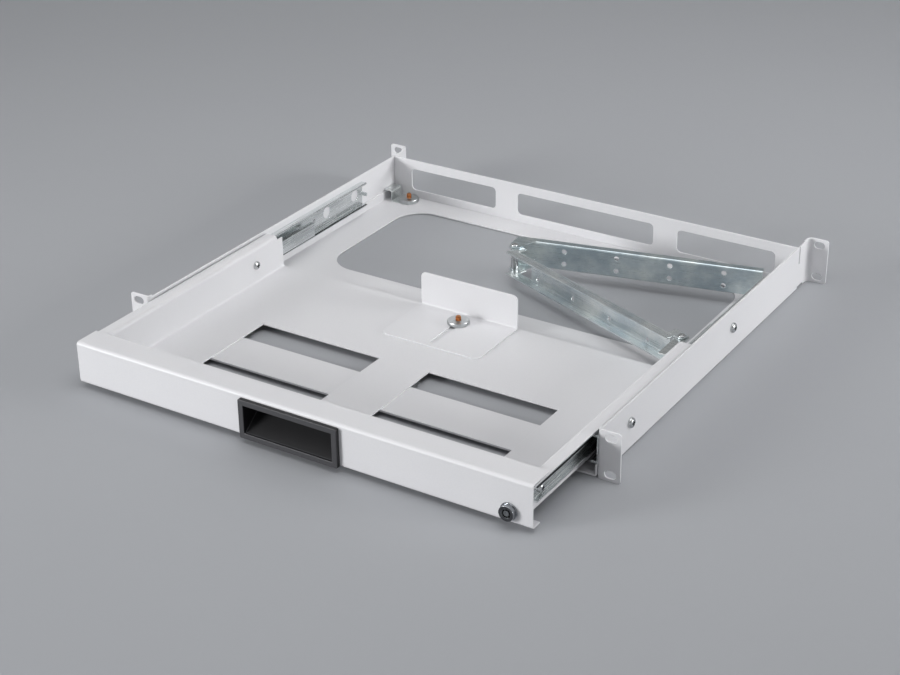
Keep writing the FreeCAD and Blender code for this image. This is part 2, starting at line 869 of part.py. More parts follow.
def make_drawer_rail_screws():
    body = drawer_body("drawer_rail_screws")
    for hand in SIDES.values():
        web = rail_face(hand, s.slide_space - s.rail_sheet)
        # the front screw's head lies in the rail, the rear one's inside the tray
        make_screw(body, web, hand * (tray_inner - s.rail_screw_end), hand, s.drawer_screw_front)
        tip = web + hand * s.rail_screw_end
        make_screw(body, hand * tray_inner, tip, -hand, drawer_screw_rear)
    return body


# Drawer


def make_drawer_tray():
    body = drawer_body("drawer_tray")
    section = new_sketch(body, "XZ", s.drawer_sheet)
    flange_end = panel_half
    path = [
        (-flange_end, tray_top),
        (-tray_inner, tray_top),
        (-tray_inner, tray_floor),
        (tray_inner, tray_floor),
        (tray_inner, tray_top),
        (flange_end, tray_top),
    ]
    bent_sheet(section, path, s.drawer_sheet, [s.tray_bend] * 4)
    pad(body, section, tray_depth - s.drawer_sheet)
    # the tray keeps clear of the front panel's two bends
    wide = panel_half + 1
    bend_room = s.drawer_sheet + s.panel_bend + s.tray_gap
    bends = new_sketch(body, "XZ", 0)
    rectangle(bends, -wide, wide, tray_bottom - 1, panel_bottom + bend_room)
    rectangle(bends, -wide, wide, s.panel_top - bend_room, tray_top + 1)
    cut(body, bends, bend_room)
    rear_edge = new_sketch(body, "XZ", tray_depth - s.tray_notch)
    rectangle(rear_edge, -wide, wide, tray_top - s.tray_end_drop, tray_top + 1)
    cut(body, rear_edge, s.tray_notch + 1)
    # inward tabs that are welded to the front panel
    tabs = new_sketch(body, "XZ", s.drawer_sheet)
    tab_top = s.panel_top - bend_room - s.tray_gap
    for hand in SIDES.values():
        edges = [hand * (tray_inner - s.tab_width), hand * tray_outer]
        rectangle(tabs, *edges, tab_top - s.tab_height, tab_top)
    pad(body, tabs, s.drawer_sheet)
    openings = new_sketch(body, "XY", 0)
    opening_back = s.opening_front + s.opening_depth
    for hand in SIDES.values():
        inner = hand * s.opening_between / 2
        outer = hand * (s.opening_between / 2 + s.opening_width)
        rectangle(openings, inner, outer, s.opening_front, opening_back)
    cam_sweep = s.cam_reach + s.cam_slot_play
    cam_right = lock_x + s.cam_width / 2 + s.cam_slot_play
    cam_slot_back = cam_back + s.cam_slot_play
    rectangle(openings, lock_x - cam_sweep, cam_right, cam_front - s.cam_slot_play, cam_slot_back)
    cut(body, openings)
    screw_holes = new_sketch(body, "YZ", 0)
    for place in (s.drawer_screw_front, drawer_screw_rear):
        circle(screw_holes, place, s.slide_level, s.rail_screw_radius + s.hole_play)
    cut(body, screw_holes)
    rivet_holes = new_sketch(body, "YZ", 0)
    for place in drawer_rivet_places():
        circle(rivet_holes, place, s.arm_level, s.rivet_radius)
    cut(body, rivet_holes, panel_half)
    return body


def make_front_panel():
    body = drawer_body("front_panel")
    section = new_sketch(body, "YZ", 0)
    path = [
        (s.panel_lip, panel_bottom),
        (0, panel_bottom),
        (0, s.panel_top),
        (s.panel_flange, s.panel_top),
    ]
    bent_sheet(section, path, s.drawer_sheet, [s.panel_bend, s.panel_bend])
    pad(body, section, panel_half * 2, symmetric=True)
    holes = new_sketch(body, "XZ", 0)
    half_width, low, high = pull_cup_edges()
    play = s.pull_play
    rectangle(holes, -half_width - play, half_width + play, low - play, high + play)
    circle(holes, lock_x, s.lock_level, s.lock_barrel_radius + s.lock_play)
    cut(body, holes, s.drawer_sheet + 1)
    return body


def make_floor_strap():
    body = drawer_body("floor_strap")
    plan = new_sketch(body, "XY", tray_bottom - s.strap_sheet)
    half = s.opening_between / 2 + s.opening_width + s.strap_overlap
    rectangle(plan, -half, half, s.strap_front, s.strap_front + s.strap_width)
    pad(body, plan, s.strap_sheet)
    return body


def pull_cup_edges():
    """Half width, lower and upper edge of the cup behind the pull's frame."""
    inset = s.pull_rim - s.pull_wall
    low = s.pull_level - s.pull_height / 2 + inset
    high = s.pull_level + s.pull_height / 2 - inset
    return s.pull_width / 2 - inset, low, high


def make_pull_cup():
    body = drawer_body("pull_cup")
    half_width, low, high = pull_cup_edges()
    frame = new_sketch(body, "XZ", -s.pull_rise)
    half_frame = s.pull_width / 2
    frame_low = s.pull_level - s.pull_height / 2
    frame_high = s.pull_level + s.pull_height / 2
    rectangle(frame, -half_frame, half_frame, frame_low, frame_high, s.pull_corner)
    pad(body, frame, s.pull_rise)
    # the cup is a wedge: its floor climbs from the lower rim to the back
    wedge = new_sketch(body, "YZ", 0)
    step = s.drawer_sheet * 2
    outline(
        wedge,
        [
            (-s.pull_rise / 2, low),
            (step, low),
            (s.pull_depth, high - s.pull_back - s.pull_wall),
            (s.pull_depth, high),
            (-s.pull_rise / 2, high),
        ],
    )
    pad(body, wedge, half_width * 2, symmetric=True)
    hollow = new_sketch(body, "YZ", 0)
    outline(
        hollow,
        [
            (-s.pull_rise - 1, low + s.pull_wall),
            (-s.pull_rise / 2, low + s.pull_wall),
            (s.pull_depth - s.pull_wall, high - s.pull_back),
            (s.pull_depth - s.pull_wall, high - s.pull_wall),
            (-s.pull_rise - 1, high - s.pull_wall),
        ],
    )
    cut(body, hollow, half_width * 2 - s.pull_wall * 2, symmetric=True)
    return body


# Lock


def make_lock_body():
    body = drawer_body("lock_body", lock_x, 0, s.lock_level)
    profile = new_sketch(body, "XY", 0)
    bore = s.lock_plug_radius + s.lock_play
    outline(
        profile,
        [
            (bore, -s.lock_rise),
            (s.lock_face_radius, -s.lock_rise),
            (s.lock_face_radius, -s.lock_rim_height),
            (s.lock_rim_radius, -s.lock_rim_height),
            (s.lock_rim_radius, 0),
            (s.lock_barrel_radius, 0),
            (s.lock_barrel_radius, s.lock_barrel_length),
            (bore, s.lock_barrel_length),
        ],
    )
    revolve(body, profile, "V_Axis")
    return body


def make_lock_nut():
    body = drawer_body("lock_nut", lock_x, s.drawer_sheet, s.lock_level)
    face = new_sketch(body, "XZ", 0)
    flat = s.lock_nut_flats / 2
    corner = flat / math.cos(math.radians(30))
    half_corner = corner / 2
    outline(
        face,
        [
            (corner, 0),
            (half_corner, flat),
            (-half_corner, flat),
            (-corner, 0),
            (-half_corner, -flat),
            (half_corner, -flat),
        ],
    )
    circle(face, 0, 0, s.lock_barrel_radius + s.lock_play)
    pad(body, face, s.lock_nut_height)
    return body


def make_lock_plug():
    body = drawer_body("lock_plug", lock_x, 0, s.lock_level)
    profile = new_sketch(body, "XY", 0)
    face = s.lock_plug_sink - s.lock_rise
    outline(
        profile,
        [
            (0, face),
            (s.key_post_radius, face),
            (s.key_post_radius, face + s.key_ring_depth),
            (s.key_ring_radius, face + s.key_ring_depth),
            (s.key_ring_radius, face),
            (s.lock_plug_radius, face),
            (s.lock_plug_radius, cam_front),
            (s.cam_neck_radius, cam_front),
            (s.cam_neck_radius, cam_back),
            (s.cam_screw_radius, cam_back),
            (s.cam_screw_radius, cam_back - s.cam_screw_length),
            (0, cam_back - s.cam_screw_length),
        ],
    )
    revolve(body, profile, "V_Axis")
    return body


def make_lock_cam():
    body = drawer_body("lock_cam", lock_x, cam_front, s.lock_level)
    face = new_sketch(body, "XZ", 0)
    half = s.cam_width / 2
    outline(
        face,
        [
            (half, -half, half * 0.9),
            (half, half, half * 0.9),
            (-s.cam_reach, half, half / 4),
            (-s.cam_reach, -half, half / 4),
        ],
    )
    circle(face, 0, 0, s.cam_neck_radius + s.lock_play)
    pad(body, face, s.cam_sheet)
    return body


def make_cam_screw():
    body = drawer_body("cam_screw", lock_x, cam_back, s.lock_level)
    profile = new_sketch(body, "XY", 0)
    outline(
        profile,
        [
            (0, -s.cam_screw_length),
            (s.cam_screw_radius, -s.cam_screw_length),
            (s.cam_screw_radius, 0),
            (s.cam_screw_head_radius, 0),
            (s.cam_screw_head_radius, s.cam_screw_head, s.cam_screw_head / 2),
            (0, s.cam_screw_head),
        ],
    )
    revolve(body, profile, "V_Axis")
    return body


# Keyboard stop, studs, knurled nuts and cable clip


def make_keyboard_stop():
    body = drawer_body("keyboard_stop", 0, stop_front)
    section = new_sketch(body, "YZ", 0)
    stop_top = tray_floor + s.stop_height
    path = [(0, stop_plate_top), (s.stop_depth, stop_plate_top), (s.stop_depth, stop_top)]
    bent_sheet(section, path, s.stop_sheet, [s.stop_bend])
    angle = pad(body, section, s.stop_width, symmetric=True)
    half = s.stop_width.value / 2

    def at_side(edge):
        return edge.BoundBox.XLength < 0.01 and abs(abs(edge.BoundBox.XMin) - half) < 0.01

    def is_plate_corner(edge):
        return at_side(edge) and edge.BoundBox.YLength < 0.01 and edge.BoundBox.YMax < 0.01

    def is_flange_corner(edge):
        level = edge.BoundBox.ZMin
        return at_side(edge) and edge.BoundBox.ZLength < 0.01 and level > stop_top.value - 0.01

    plate = round_edges(body, angle, s.stop_plate_corner, is_plate_corner)
    round_edges(body, plate, s.stop_flange_corner, is_flange_corner)
    groove = new_sketch(body, "XY", stop_plate_top - s.stop_sheet)
    middle = s.stop_slot_set + s.stop_slot_length / 2
    slot(groove, 0, middle, s.stop_slot_length, s.stop_slot_width, along="y")
    cut(body, groove, s.stop_sheet)
    return body


def stud_profile(body):
    profile = new_sketch(body, "XZ", 0)
    top = s.stud_length
    outline(
        profile,
        [
            (0, 0),
            (s.stud_radius, 0),
            (s.stud_radius, top - s.stud_chamfer),
            (s.stud_radius - s.stud_chamfer, top),
            (0, top),
        ],
    )
    revolve(body, profile, "V_Axis")
    return body


def nut_profile(body):
    profile = new_sketch(body, "XZ", 0)
    bore = s.stud_radius + s.thread_play
    outer, bevel = s.nut_radius, s.nut_chamfer
    outline(
        profile,
        [
            (bore, 0),
            (outer - bevel, 0),
            (outer, bevel),
            (outer, s.nut_height - bevel),
            (outer - bevel, s.nut_height),
            (bore, s.nut_height),
        ],
    )
    revolve(body, profile, "V_Axis")
    return body


clip_stud_place = (-(plate_inner - s.clip_inset), rear_panel_front - s.clip_back)


def make_stop_stud():
    return stud_profile(drawer_body("stop_stud", 0, stud_place, tray_floor))


def make_stop_nut():
    return nut_profile(drawer_body("stop_nut", 0, stud_place, stop_plate_top + s.seat_gap))


def make_clip_stud():
    return stud_profile(new_body("clip_stud", clip_stud_place + (floor_top,)))


def make_clip_nut():
    return nut_profile(new_body("clip_nut", clip_stud_place + (floor_top + s.clip_sheet + s.seat_gap,)))


def make_cable_clip():
    body = new_body("cable_clip", clip_stud_place + (floor_top,))
    section = new_sketch(body, "XZ", -s.clip_width / 2)
    low, high = s.clip_sheet, s.clip_sheet + s.clip_rise
    path = [
        (s.clip_tail, low),
        (-s.clip_reach, low),
        (-s.clip_reach, high),
        (-s.clip_reach - s.clip_lip, high),
    ]
    bent_sheet(section, path, s.clip_sheet, [s.clip_bend, s.clip_bend], "left")
    pad(body, section, s.clip_width)
    hole = new_sketch(body, "XY", 0)
    circle(hole, 0, 0, s.stud_radius + s.hole_play)
    cut(body, hole, s.clip_sheet)
    return body


# Cable arm


def hole_rows(body, first):
    """Two rows of round holes along a link's web."""
    holes = new_sketch(body, "XZ", 0)
    for level in (-s.arm_hole_rise / 2, s.arm_hole_rise / 2):
        circle(holes, first, level, s.arm_hole_radius)
    doc.recompute()
    return row(body, [cut(body, holes)], "X", s.arm_hole_pitch, HOLES_PER_ROW)


def flange_plates(body, corners, half):
    """The same plate at the top and at the bottom of a link."""
    for level in (half - s.arm_sheet, -half):
        plan = new_sketch(body, "XY", level)
        outline(plan, corners)
        pad(body, plan, s.arm_sheet)


def make_front_arm_link():
    """Runs from the drawer's pivot, at its own origin, to the elbow along its own X."""
    turn = 180 - s.front_angle
    body = new_body("front_arm_link", drawer_pivot + (s.arm_level,), turn)
    section = new_sketch(body, "YZ", s.link_end_set)
    flange_end = s.front_set + s.front_flange
    web_back = s.front_set - s.arm_sheet
    path = [
        (flange_end, -front_half),
        (web_back, -front_half),
        (web_back, front_half),
        (flange_end, front_half),
    ]
    bent_sheet(section, path, s.arm_sheet, [s.arm_bend, s.arm_bend])
    pad(body, section, s.front_reach - s.link_end_set * 2)
    # the web stops short of both pivots
    web_ends = new_sketch(body, "XZ", 0)
    clear = front_half - s.arm_sheet
    rectangle(web_ends, s.link_end_set - 1, s.link_web_set, -clear, clear)
    far_end = s.front_reach - s.link_end_set + 1
    rectangle(web_ends, s.front_reach - s.elbow_web_set, far_end, -clear, clear)
    cut(body, web_ends, flange_end + 1)
    ear, root = s.link_ear_radius, s.link_ear_root
    round_ear = ear * 0.9
    near_ear = [(-ear, -ear, round_ear), (root, -ear), (root, ear), (-ear, ear, round_ear)]
    flange_plates(body, near_ear, front_half)
    far = s.front_reach
    far_ear = [
        (far - root, -ear),
        (far + ear, -ear, round_ear),
        (far + ear, ear, round_ear),
        (far - root, ear),
    ]
    flange_plates(body, far_ear, front_half)
    pivots = new_sketch(body, "XY", 0)
    circle(pivots, 0, 0, pin_hole)
    circle(pivots, far, 0, pin_hole)
    cut(body, pivots)
    hole_rows(body, s.front_hole_first)
    return body


def make_rear_arm_link():
    """Runs from the elbow, at its own origin, to the wall bracket along its own X."""
    body = new_body("rear_arm_link", elbow + (s.arm_level,), s.rear_angle)
    section = new_sketch(body, "YZ", -s.rear_link_lap)
    web_front = s.rear_set
    flange_end = s.rear_set + s.arm_sheet + s.rear_flange
    path = [
        (flange_end, -rear_half),
        (web_front, -rear_half),
        (web_front, rear_half),
        (flange_end, rear_half),
    ]
    bent_sheet(section, path, s.arm_sheet, [s.arm_bend, s.arm_bend])
    pad(body, section, rear_reach + s.rear_link_over + s.rear_link_lap)
    ear = s.link_ear_radius
    web_line = web_front + s.arm_sheet * 2
    flange_plates(
        body,
        [
            (-ear, -ear, ear * 0.9),
            (ear, -ear, ear * 0.9),
            (s.link_ear_root + ear, web_line),
            (-s.rear_link_lap, web_line),
            (-ear, ear),
        ],
        rear_half,
    )
    # the lower flange alone widens to an ear for the pin in the wall bracket
    wall_ear = new_sketch(body, "XY", -rear_half)
    outline(
        wall_ear,
        [
            (rear_reach - s.link_ear_root, web_line),
            (rear_reach + ear, web_line),
            (rear_reach + ear, wall_pivot_reach + ear, ear * 0.9),
            (rear_reach - ear, wall_pivot_reach + ear, ear * 0.9),
        ],
    )
    pad(body, wall_ear, s.arm_sheet)
    pivots = new_sketch(body, "XY", 0)
    circle(pivots, 0, 0, pin_hole)
    cut(body, pivots)
    wall_pin = new_sketch(body, "XY", -rear_half)
    circle(wall_pin, rear_reach, wall_pivot_reach, pin_hole)
    cut(body, wall_pin, s.arm_sheet)
    hole_rows(body, s.rear_hole_first)
    return body


def pin_profile(body, low, high):
    """A pin along Z with a head at both ends."""
    profile = new_sketch(body, "XZ", 0)
    gap = s.seat_gap
    outline(
        profile,
        [
            (0, low - gap - s.pin_head),
            (s.pin_head_radius, low - gap - s.pin_head, s.pin_head / 2),
            (s.pin_head_radius, low - gap),
            (s.pin_radius, low - gap),
            (s.pin_radius, high + gap),
            (s.pin_head_radius, high + gap),
            (s.pin_head_radius, high + gap + s.pin_head, s.pin_head / 2),
            (0, high + gap + s.pin_head),
        ],
    )
    revolve(body, profile, "V_Axis")
    return body


def make_elbow_pin():
    return pin_profile(new_body("elbow_pin", elbow + (s.arm_level,)), -rear_half, rear_half)


def make_elbow_spacer():
    body = new_body("elbow_spacer", elbow + (s.arm_level,))
    half = front_half - s.arm_sheet - s.seat_gap
    ring = new_sketch(body, "XY", -half)
    circle(ring, 0, 0, s.elbow_spacer_radius)
    circle(ring, 0, 0, pin_hole)
    pad(body, ring, half * 2)
    return body


def make_arm_drawer_pin():
    body = new_body("arm_drawer_pin", drawer_pivot + (s.arm_level,))
    return pin_profile(body, -front_half, front_half)


def wall_lug_top():
    """Upper face of the wall bracket's lug, below the rear link, from the arm's level."""
    return -rear_half - s.arm_play


def make_arm_wall_pin():
    body = new_body("arm_wall_pin", wall_pivot + (s.arm_level,))
    return pin_profile(body, wall_lug_top() - s.wall_bracket_sheet, s.arm_sheet - rear_half)


def make_arm_drawer_bracket():
    body = drawer_body("arm_drawer_bracket", drawer_pivot[0], 0, s.arm_level)
    pivot_place = tray_depth + s.drawer_pivot_back
    start = tray_depth - s.drawer_bracket_length
    section = new_sketch(body, "XZ", start)
    half = drawer_bracket_half
    wall = s.drawer_pivot_inset
    lug_end = -s.link_ear_radius
    path = [(lug_end, half), (wall, half), (wall, -half), (lug_end, -half)]
    bent_sheet(section, path, s.bracket_sheet, [s.bracket_bend, s.bracket_bend])
    pad(body, section, pivot_place + s.link_ear_radius - start)
    # the lugs are rounded about the pin, and the upright ends with the tray
    upright = new_sketch(body, "XZ", tray_depth)
    clear = half - s.bracket_sheet
    rectangle(upright, lug_end - 1, wall + 1, -clear, clear)
    cut(body, upright, s.drawer_pivot_back + s.link_ear_radius + 1)
    corner = new_sketch(body, "XY", 0)
    ear = s.link_ear_radius
    back = pivot_place + ear
    outline(
        corner,
        [
            (-ear, pivot_place),
            (-ear / 2, back),
            (-ear / 2, back + 1),
            (-ear - 1, back + 1),
            (-ear - 1, pivot_place),
        ],
    )
    cut(body, corner)
    pin = new_sketch(body, "XY", 0)
    circle(pin, 0, pivot_place, pin_hole)
    cut(body, pin)
    rivets = new_sketch(body, "YZ", 0)
    for place in drawer_rivet_places():
        circle(rivets, place, 0, s.rivet_radius)
    cut(body, rivets)
    return body


def drawer_rivet_places():
    first = tray_depth - s.drawer_bracket_length + (s.drawer_bracket_length - s.rivet_pitch) / 2
    return (first, first + s.rivet_pitch)


def make_rivets(body, head_face, end, places):
    """Flush rivets along X with a low round head on the inner side."""
    for place in places:
        profile = new_sketch(body, "XZ", place, s.arm_level)
        head_top = head_face - s.rivet_head
        outline(
            profile,
            [
                (end, 0),
                (end, s.rivet_radius),
                (head_face, s.rivet_radius),
                (head_face, s.rivet_head_radius),
                (head_top, s.rivet_head_radius, s.rivet_head * 0.6),
                (head_top, 0),
            ],
        )
        revolve(body, profile, "H_Axis")
    return body


def make_drawer_bracket_rivets():
    body = drawer_body("drawer_bracket_rivets")
    head_face = tray_inner - s.bracket_sheet
    return make_rivets(body, head_face, tray_outer, drawer_rivet_places())


def wall_rivet_places():
    first = wall_bracket_front + (s.wall_bracket_length - s.rivet_pitch) / 2
    return (first, first + s.rivet_pitch)


def make_arm_wall_bracket():
    body = new_body("arm_wall_bracket")
    lug_high = s.arm_level + wall_lug_top()
    lug_low = lug_high - s.wall_bracket_sheet
    section = new_sketch(body, "XZ", wall_bracket_front)
    slot_left = wall_pivot[0] - s.pivot_slot_left - s.pin_radius
    slot_right = wall_pivot[0] + s.pivot_slot_right + s.pin_radius
    slot_front = wall_pivot[1] - s.pivot_slot_front - s.pin_radius
    slot_back = wall_pivot[1] + s.pivot_slot_back + s.pin_radius
    lug_left = slot_left - s.wall_lug_margin
    path = [(plate_inner, lug_low + s.wall_bracket_rise), (plate_inner, lug_low), (lug_left, lug_low)]
    bent_sheet(section, path, s.wall_bracket_sheet, [s.bracket_bend])
    pad(body, section, s.wall_bracket_length)
    lug = new_sketch(body, "XY", lug_low)
    margin = s.wall_lug_margin
    inner_edge = plate_inner - s.wall_bracket_sheet - s.bracket_bend
    back = wall_bracket_front + s.wall_bracket_length
    outline(
        lug,
        [
            (lug_left, slot_front - margin, margin),
            (slot_right + margin, slot_front - margin, margin),
            (inner_edge, wall_bracket_front),
            (inner_edge, back),
            (lug_left, slot_back + margin, margin),
        ],
    )
    pad(body, lug, s.wall_bracket_sheet)
    trim = new_sketch(body, "XY", lug_low)
    outline(
        trim,
        [
            (inner_edge, back),
            (inner_edge, back + 1),
            (lug_left - 1, back + 1),
            (lug_left - 1, slot_back + margin),
            (lug_left, slot_back + margin),
        ],
    )
    cut(body, trim, s.wall_bracket_sheet)
    way = new_sketch(body, "XY", lug_low)
    rectangle(way, slot_left, slot_right, slot_front, slot_back, s.pin_radius)
    cut(body, way, s.wall_bracket_sheet)
    rivets = new_sketch(body, "YZ", 0)
    for place in wall_rivet_places():
        circle(rivets, place, s.arm_level, s.rivet_radius)
    cut(body, rivets)
    return body


def make_wall_bracket_rivets():
    body = new_body("wall_bracket_rivets")
    head_face = plate_inner - s.wall_bracket_sheet
    return make_rivets(body, head_face, plate_inner, wall_rivet_places())


# All sub-parts
sub_parts = [make_chassis_floor(), make_rear_panel()]
for side_name, side_hand in SIDES.items():
    sub_parts.append(make_side_plate(side_name, side_hand))
    sub_parts.append(make_outer_rail(side_name, side_hand))
    sub_parts.append(make_inner_rail(side_name, side_hand))
    sub_parts.append(make_ball_cage(side_name, side_hand))
    sub_parts.append(make_balls(side_name, side_hand))
for make in (
    make_chassis_rail_screws,
    make_drawer_rail_screws,
    make_drawer_tray,
    make_front_panel,
    make_floor_strap,
    make_pull_cup,
    make_lock_body,
    make_lock_nut,
    make_lock_plug,
    make_lock_cam,
    make_cam_screw,
    make_keyboard_stop,
    make_stop_stud,
    make_stop_nut,
    make_clip_stud,
    make_clip_nut,
    make_cable_clip,
    make_front_arm_link,
    make_rear_arm_link,
    make_elbow_pin,
    make_elbow_spacer,
    make_arm_drawer_pin,
    make_arm_wall_pin,
    make_arm_drawer_bracket,
    make_drawer_bracket_rivets,
    make_arm_wall_bracket,
    make_wall_bracket_rivets,
):
    sub_parts.append(make())
doc.recompute()

# Every object has to be sound before anything is written
for item in doc.Objects:
    if "Invalid" in item.State or "Error" in item.State:
        raise RuntimeError(f"{item.Label} failed: {item.State}")
for part in sub_parts:
    if part.Shape.isNull() or not part.Shape.isValid():
        raise RuntimeError(f"{part.Label} has no valid shape")

os.makedirs("parts", exist_ok=True)
for part in sub_parts:
    part.Shape.exportStep(f"parts/{part.Label}.step")
    print(part.Label, len(part.Shape.Solids), round(part.Shape.Volume, 1))
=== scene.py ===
import json
import math

import bmesh
import bpy
from mathutils import Matrix, Vector


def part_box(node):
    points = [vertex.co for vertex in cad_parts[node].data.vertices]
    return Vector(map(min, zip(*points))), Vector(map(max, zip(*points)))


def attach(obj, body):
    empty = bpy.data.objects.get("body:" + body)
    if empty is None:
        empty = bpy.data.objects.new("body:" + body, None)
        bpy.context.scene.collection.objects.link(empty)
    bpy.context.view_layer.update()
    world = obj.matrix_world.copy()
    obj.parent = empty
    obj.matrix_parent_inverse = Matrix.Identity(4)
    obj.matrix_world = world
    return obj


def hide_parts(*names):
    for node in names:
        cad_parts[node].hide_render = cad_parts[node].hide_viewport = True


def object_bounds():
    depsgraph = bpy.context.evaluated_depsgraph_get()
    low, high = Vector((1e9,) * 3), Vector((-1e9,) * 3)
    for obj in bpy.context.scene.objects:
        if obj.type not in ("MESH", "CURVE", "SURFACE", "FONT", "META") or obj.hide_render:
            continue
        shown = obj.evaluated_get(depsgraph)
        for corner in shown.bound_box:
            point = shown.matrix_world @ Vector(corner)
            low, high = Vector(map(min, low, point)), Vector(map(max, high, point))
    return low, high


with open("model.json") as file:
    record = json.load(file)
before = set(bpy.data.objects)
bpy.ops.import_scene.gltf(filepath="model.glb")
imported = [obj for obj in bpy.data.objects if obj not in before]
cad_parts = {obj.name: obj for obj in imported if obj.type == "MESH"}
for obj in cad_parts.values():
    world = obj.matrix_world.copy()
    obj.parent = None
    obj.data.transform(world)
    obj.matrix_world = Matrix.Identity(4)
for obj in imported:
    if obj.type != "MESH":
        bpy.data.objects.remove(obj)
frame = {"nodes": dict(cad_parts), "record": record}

cad_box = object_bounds()
scene = bpy.context.scene
MM = 0.001
BODY_OF = {
    node: body for body, nodes in frame["record"]["behaviour"]["bodies"].items() for node in nodes
}

# Places on the part, in mm
LOCK_AT = (199, -95, -7.4)
STOP_STUD_AT = (0, 154.5, -15)
STOP_NUT_AT = (0, 154.5, -13.4)
STOP_NUT_MIDDLE = (0, 154.5, -11.6)
CLIP_STUD_AT = (-196, 374, -20)
CLIP_NUT_AT = (-196, 374, -19.1)
CLIP_NUT_MIDDLE = (-196, 374, -17.4)
CLIP_TAIL_END = -187
PULL_FACE = -98.5
SLIDE_LEVEL = 2
CHASSIS_SCREW_SEAT = 222.5
CHASSIS_SCREWS_BACK = (52, 243)
FRONT_DRAWER_SCREW = (209.5, -68)
REAR_DRAWER_SCREW = (207.1, 133.5)

# Sizes of the details, in mm
SHEET_EDGE = 0.25
RAIL_EDGE = 0.18
PLATED_EDGE = 0.15
PULL_EDGE = 0.5
RIVET_EDGE = 0.08
CLIP_TAIL_CORNER = 8.8
STUD_LENGTH = 9
CHASSIS_SCREW_SHANK = 3.1
DRAWER_SCREW_SHANK = 2.8
CHASSIS_SCREW_HEAD = 1.15

# How far each link of the arm lies round from X, in degrees
FRONT_LINK_TURN = -21.66
REAR_LINK_TURN = 12.86

# Below the first angle faces join, above the second edges are rounded, and above the third the
# shading breaks. Points closer than the weld are one point.
FLAT_ANGLE = math.radians(0.3)
SHARP_ANGLE = math.radians(35)
CREASE_ANGLE = math.radians(40)
WELD = 0.001 * MM

# Sockets of a mix node that mixes two colours
SHARE, FIRST, SECOND, MIXED = 0, 6, 7, 2


# Colours and nodes

def linear(hex_colour):
    """An sRGB hex colour as linear red, green, blue and alpha."""
    parts = [int(hex_colour[i:i + 2], 16) / 255 for i in (1, 3, 5)]
    return [c / 12.92 if c <= 0.04045 else ((c + 0.055) / 1.055) ** 2.4 for c in parts] + [1.0]


def add_node(tree, kind, inputs=None, **settings):
    """Adds a node with its settings; an input is a value or another node's output."""
    node = tree.nodes.new(kind)
    for name, value in settings.items():
        setattr(node, name, value)
    for name, value in (inputs or {}).items():
        if isinstance(value, bpy.types.NodeSocket):
            tree.links.new(value, node.inputs[name])
        else:
            node.inputs[name].default_value = value
    return node


def new_finish(name):
    """An empty material, its node tree, and the place of each point on the piece."""
    finish = bpy.data.materials.new(name)
    finish.use_nodes = True
    tree = finish.node_tree
    tree.nodes.clear()
    place = add_node(tree, "ShaderNodeTexCoord").outputs["Object"]
    return finish, tree, place


def end_finish(tree, inputs):
    """The shader and the output that end a material."""
    shader = add_node(tree, "ShaderNodeBsdfPrincipled", inputs)
    add_node(tree, "ShaderNodeOutputMaterial", {"Surface": shader.outputs["BSDF"]})


# Finishes

def light_grey_powder_coat():
    # Polyester powder, sprayed dry on sheet steel and baked: an even satin light grey with a fine
    # orange-peel skin, a little paler on the sheet's rounded edges, partly where it draws thin and
    # partly as painted highlight.
    finish, tree, place = new_finish("light_grey_powder_coat")
    cloud = add_node(
        tree, "ShaderNodeTexNoise", {"Vector": place, "Scale": 1 / (70 * MM), "Detail": 2.0}
    )
    speck = add_node(
        tree, "ShaderNodeTexNoise", {"Vector": place, "Scale": 1 / (0.9 * MM), "Detail": 1.0}
    )
    # Orange peel is about 1 mm from dimple to dimple.
    peel = add_node(
        tree, "ShaderNodeTexNoise",
        {"Vector": place, "Scale": 1 / (1.1 * MM), "Detail": 2.0, "Roughness": 0.55},
    )
    rim = add_node(tree, "ShaderNodeAttribute", attribute_name="rim").outputs["Fac"]
    shade = add_node(
        tree, "ShaderNodeMix",
        {SHARE: cloud.outputs["Fac"], FIRST: linear("#D1D1D4"), SECOND: linear("#D7D7D9")},
        data_type="RGBA",
    )
    dusted = add_node(
        tree, "ShaderNodeMapRange",
        {
            "Value": speck.outputs["Fac"], "From Min": 0.35, "From Max": 0.65, "To Min": 0.0,
            "To Max": 0.12,
        },
    )
    skin = add_node(
        tree, "ShaderNodeMix",
        {SHARE: dusted.outputs["Result"], FIRST: shade.outputs[MIXED], SECOND: linear("#E5E5E7")},
        data_type="RGBA",
    )
    # Rounded edges are painted paler: partly thin powder, partly painted highlight.
    edge = add_node(tree, "ShaderNodeMath", {0: rim, 1: 0.45}, operation="MULTIPLY")
    colour = add_node(
        tree, "ShaderNodeMix",
        {SHARE: edge.outputs[0], FIRST: skin.outputs[MIXED], SECOND: linear("#EBEBED")},
        data_type="RGBA",
    )
    satin = add_node(
        tree, "ShaderNodeMapRange", {"Value": cloud.outputs["Fac"], "To Min": 0.38, "To Max": 0.48}
    )
    bump = add_node(
        tree, "ShaderNodeBump",
        {"Height": peel.outputs["Fac"], "Strength": 0.16, "Distance": 0.06 * MM},
    )
    end_finish(
        tree,
        {
            "Base Color": colour.outputs[MIXED], "Roughness": satin.outputs["Result"],
            "Normal": bump.outputs["Normal"],
        },
    )
    return finish


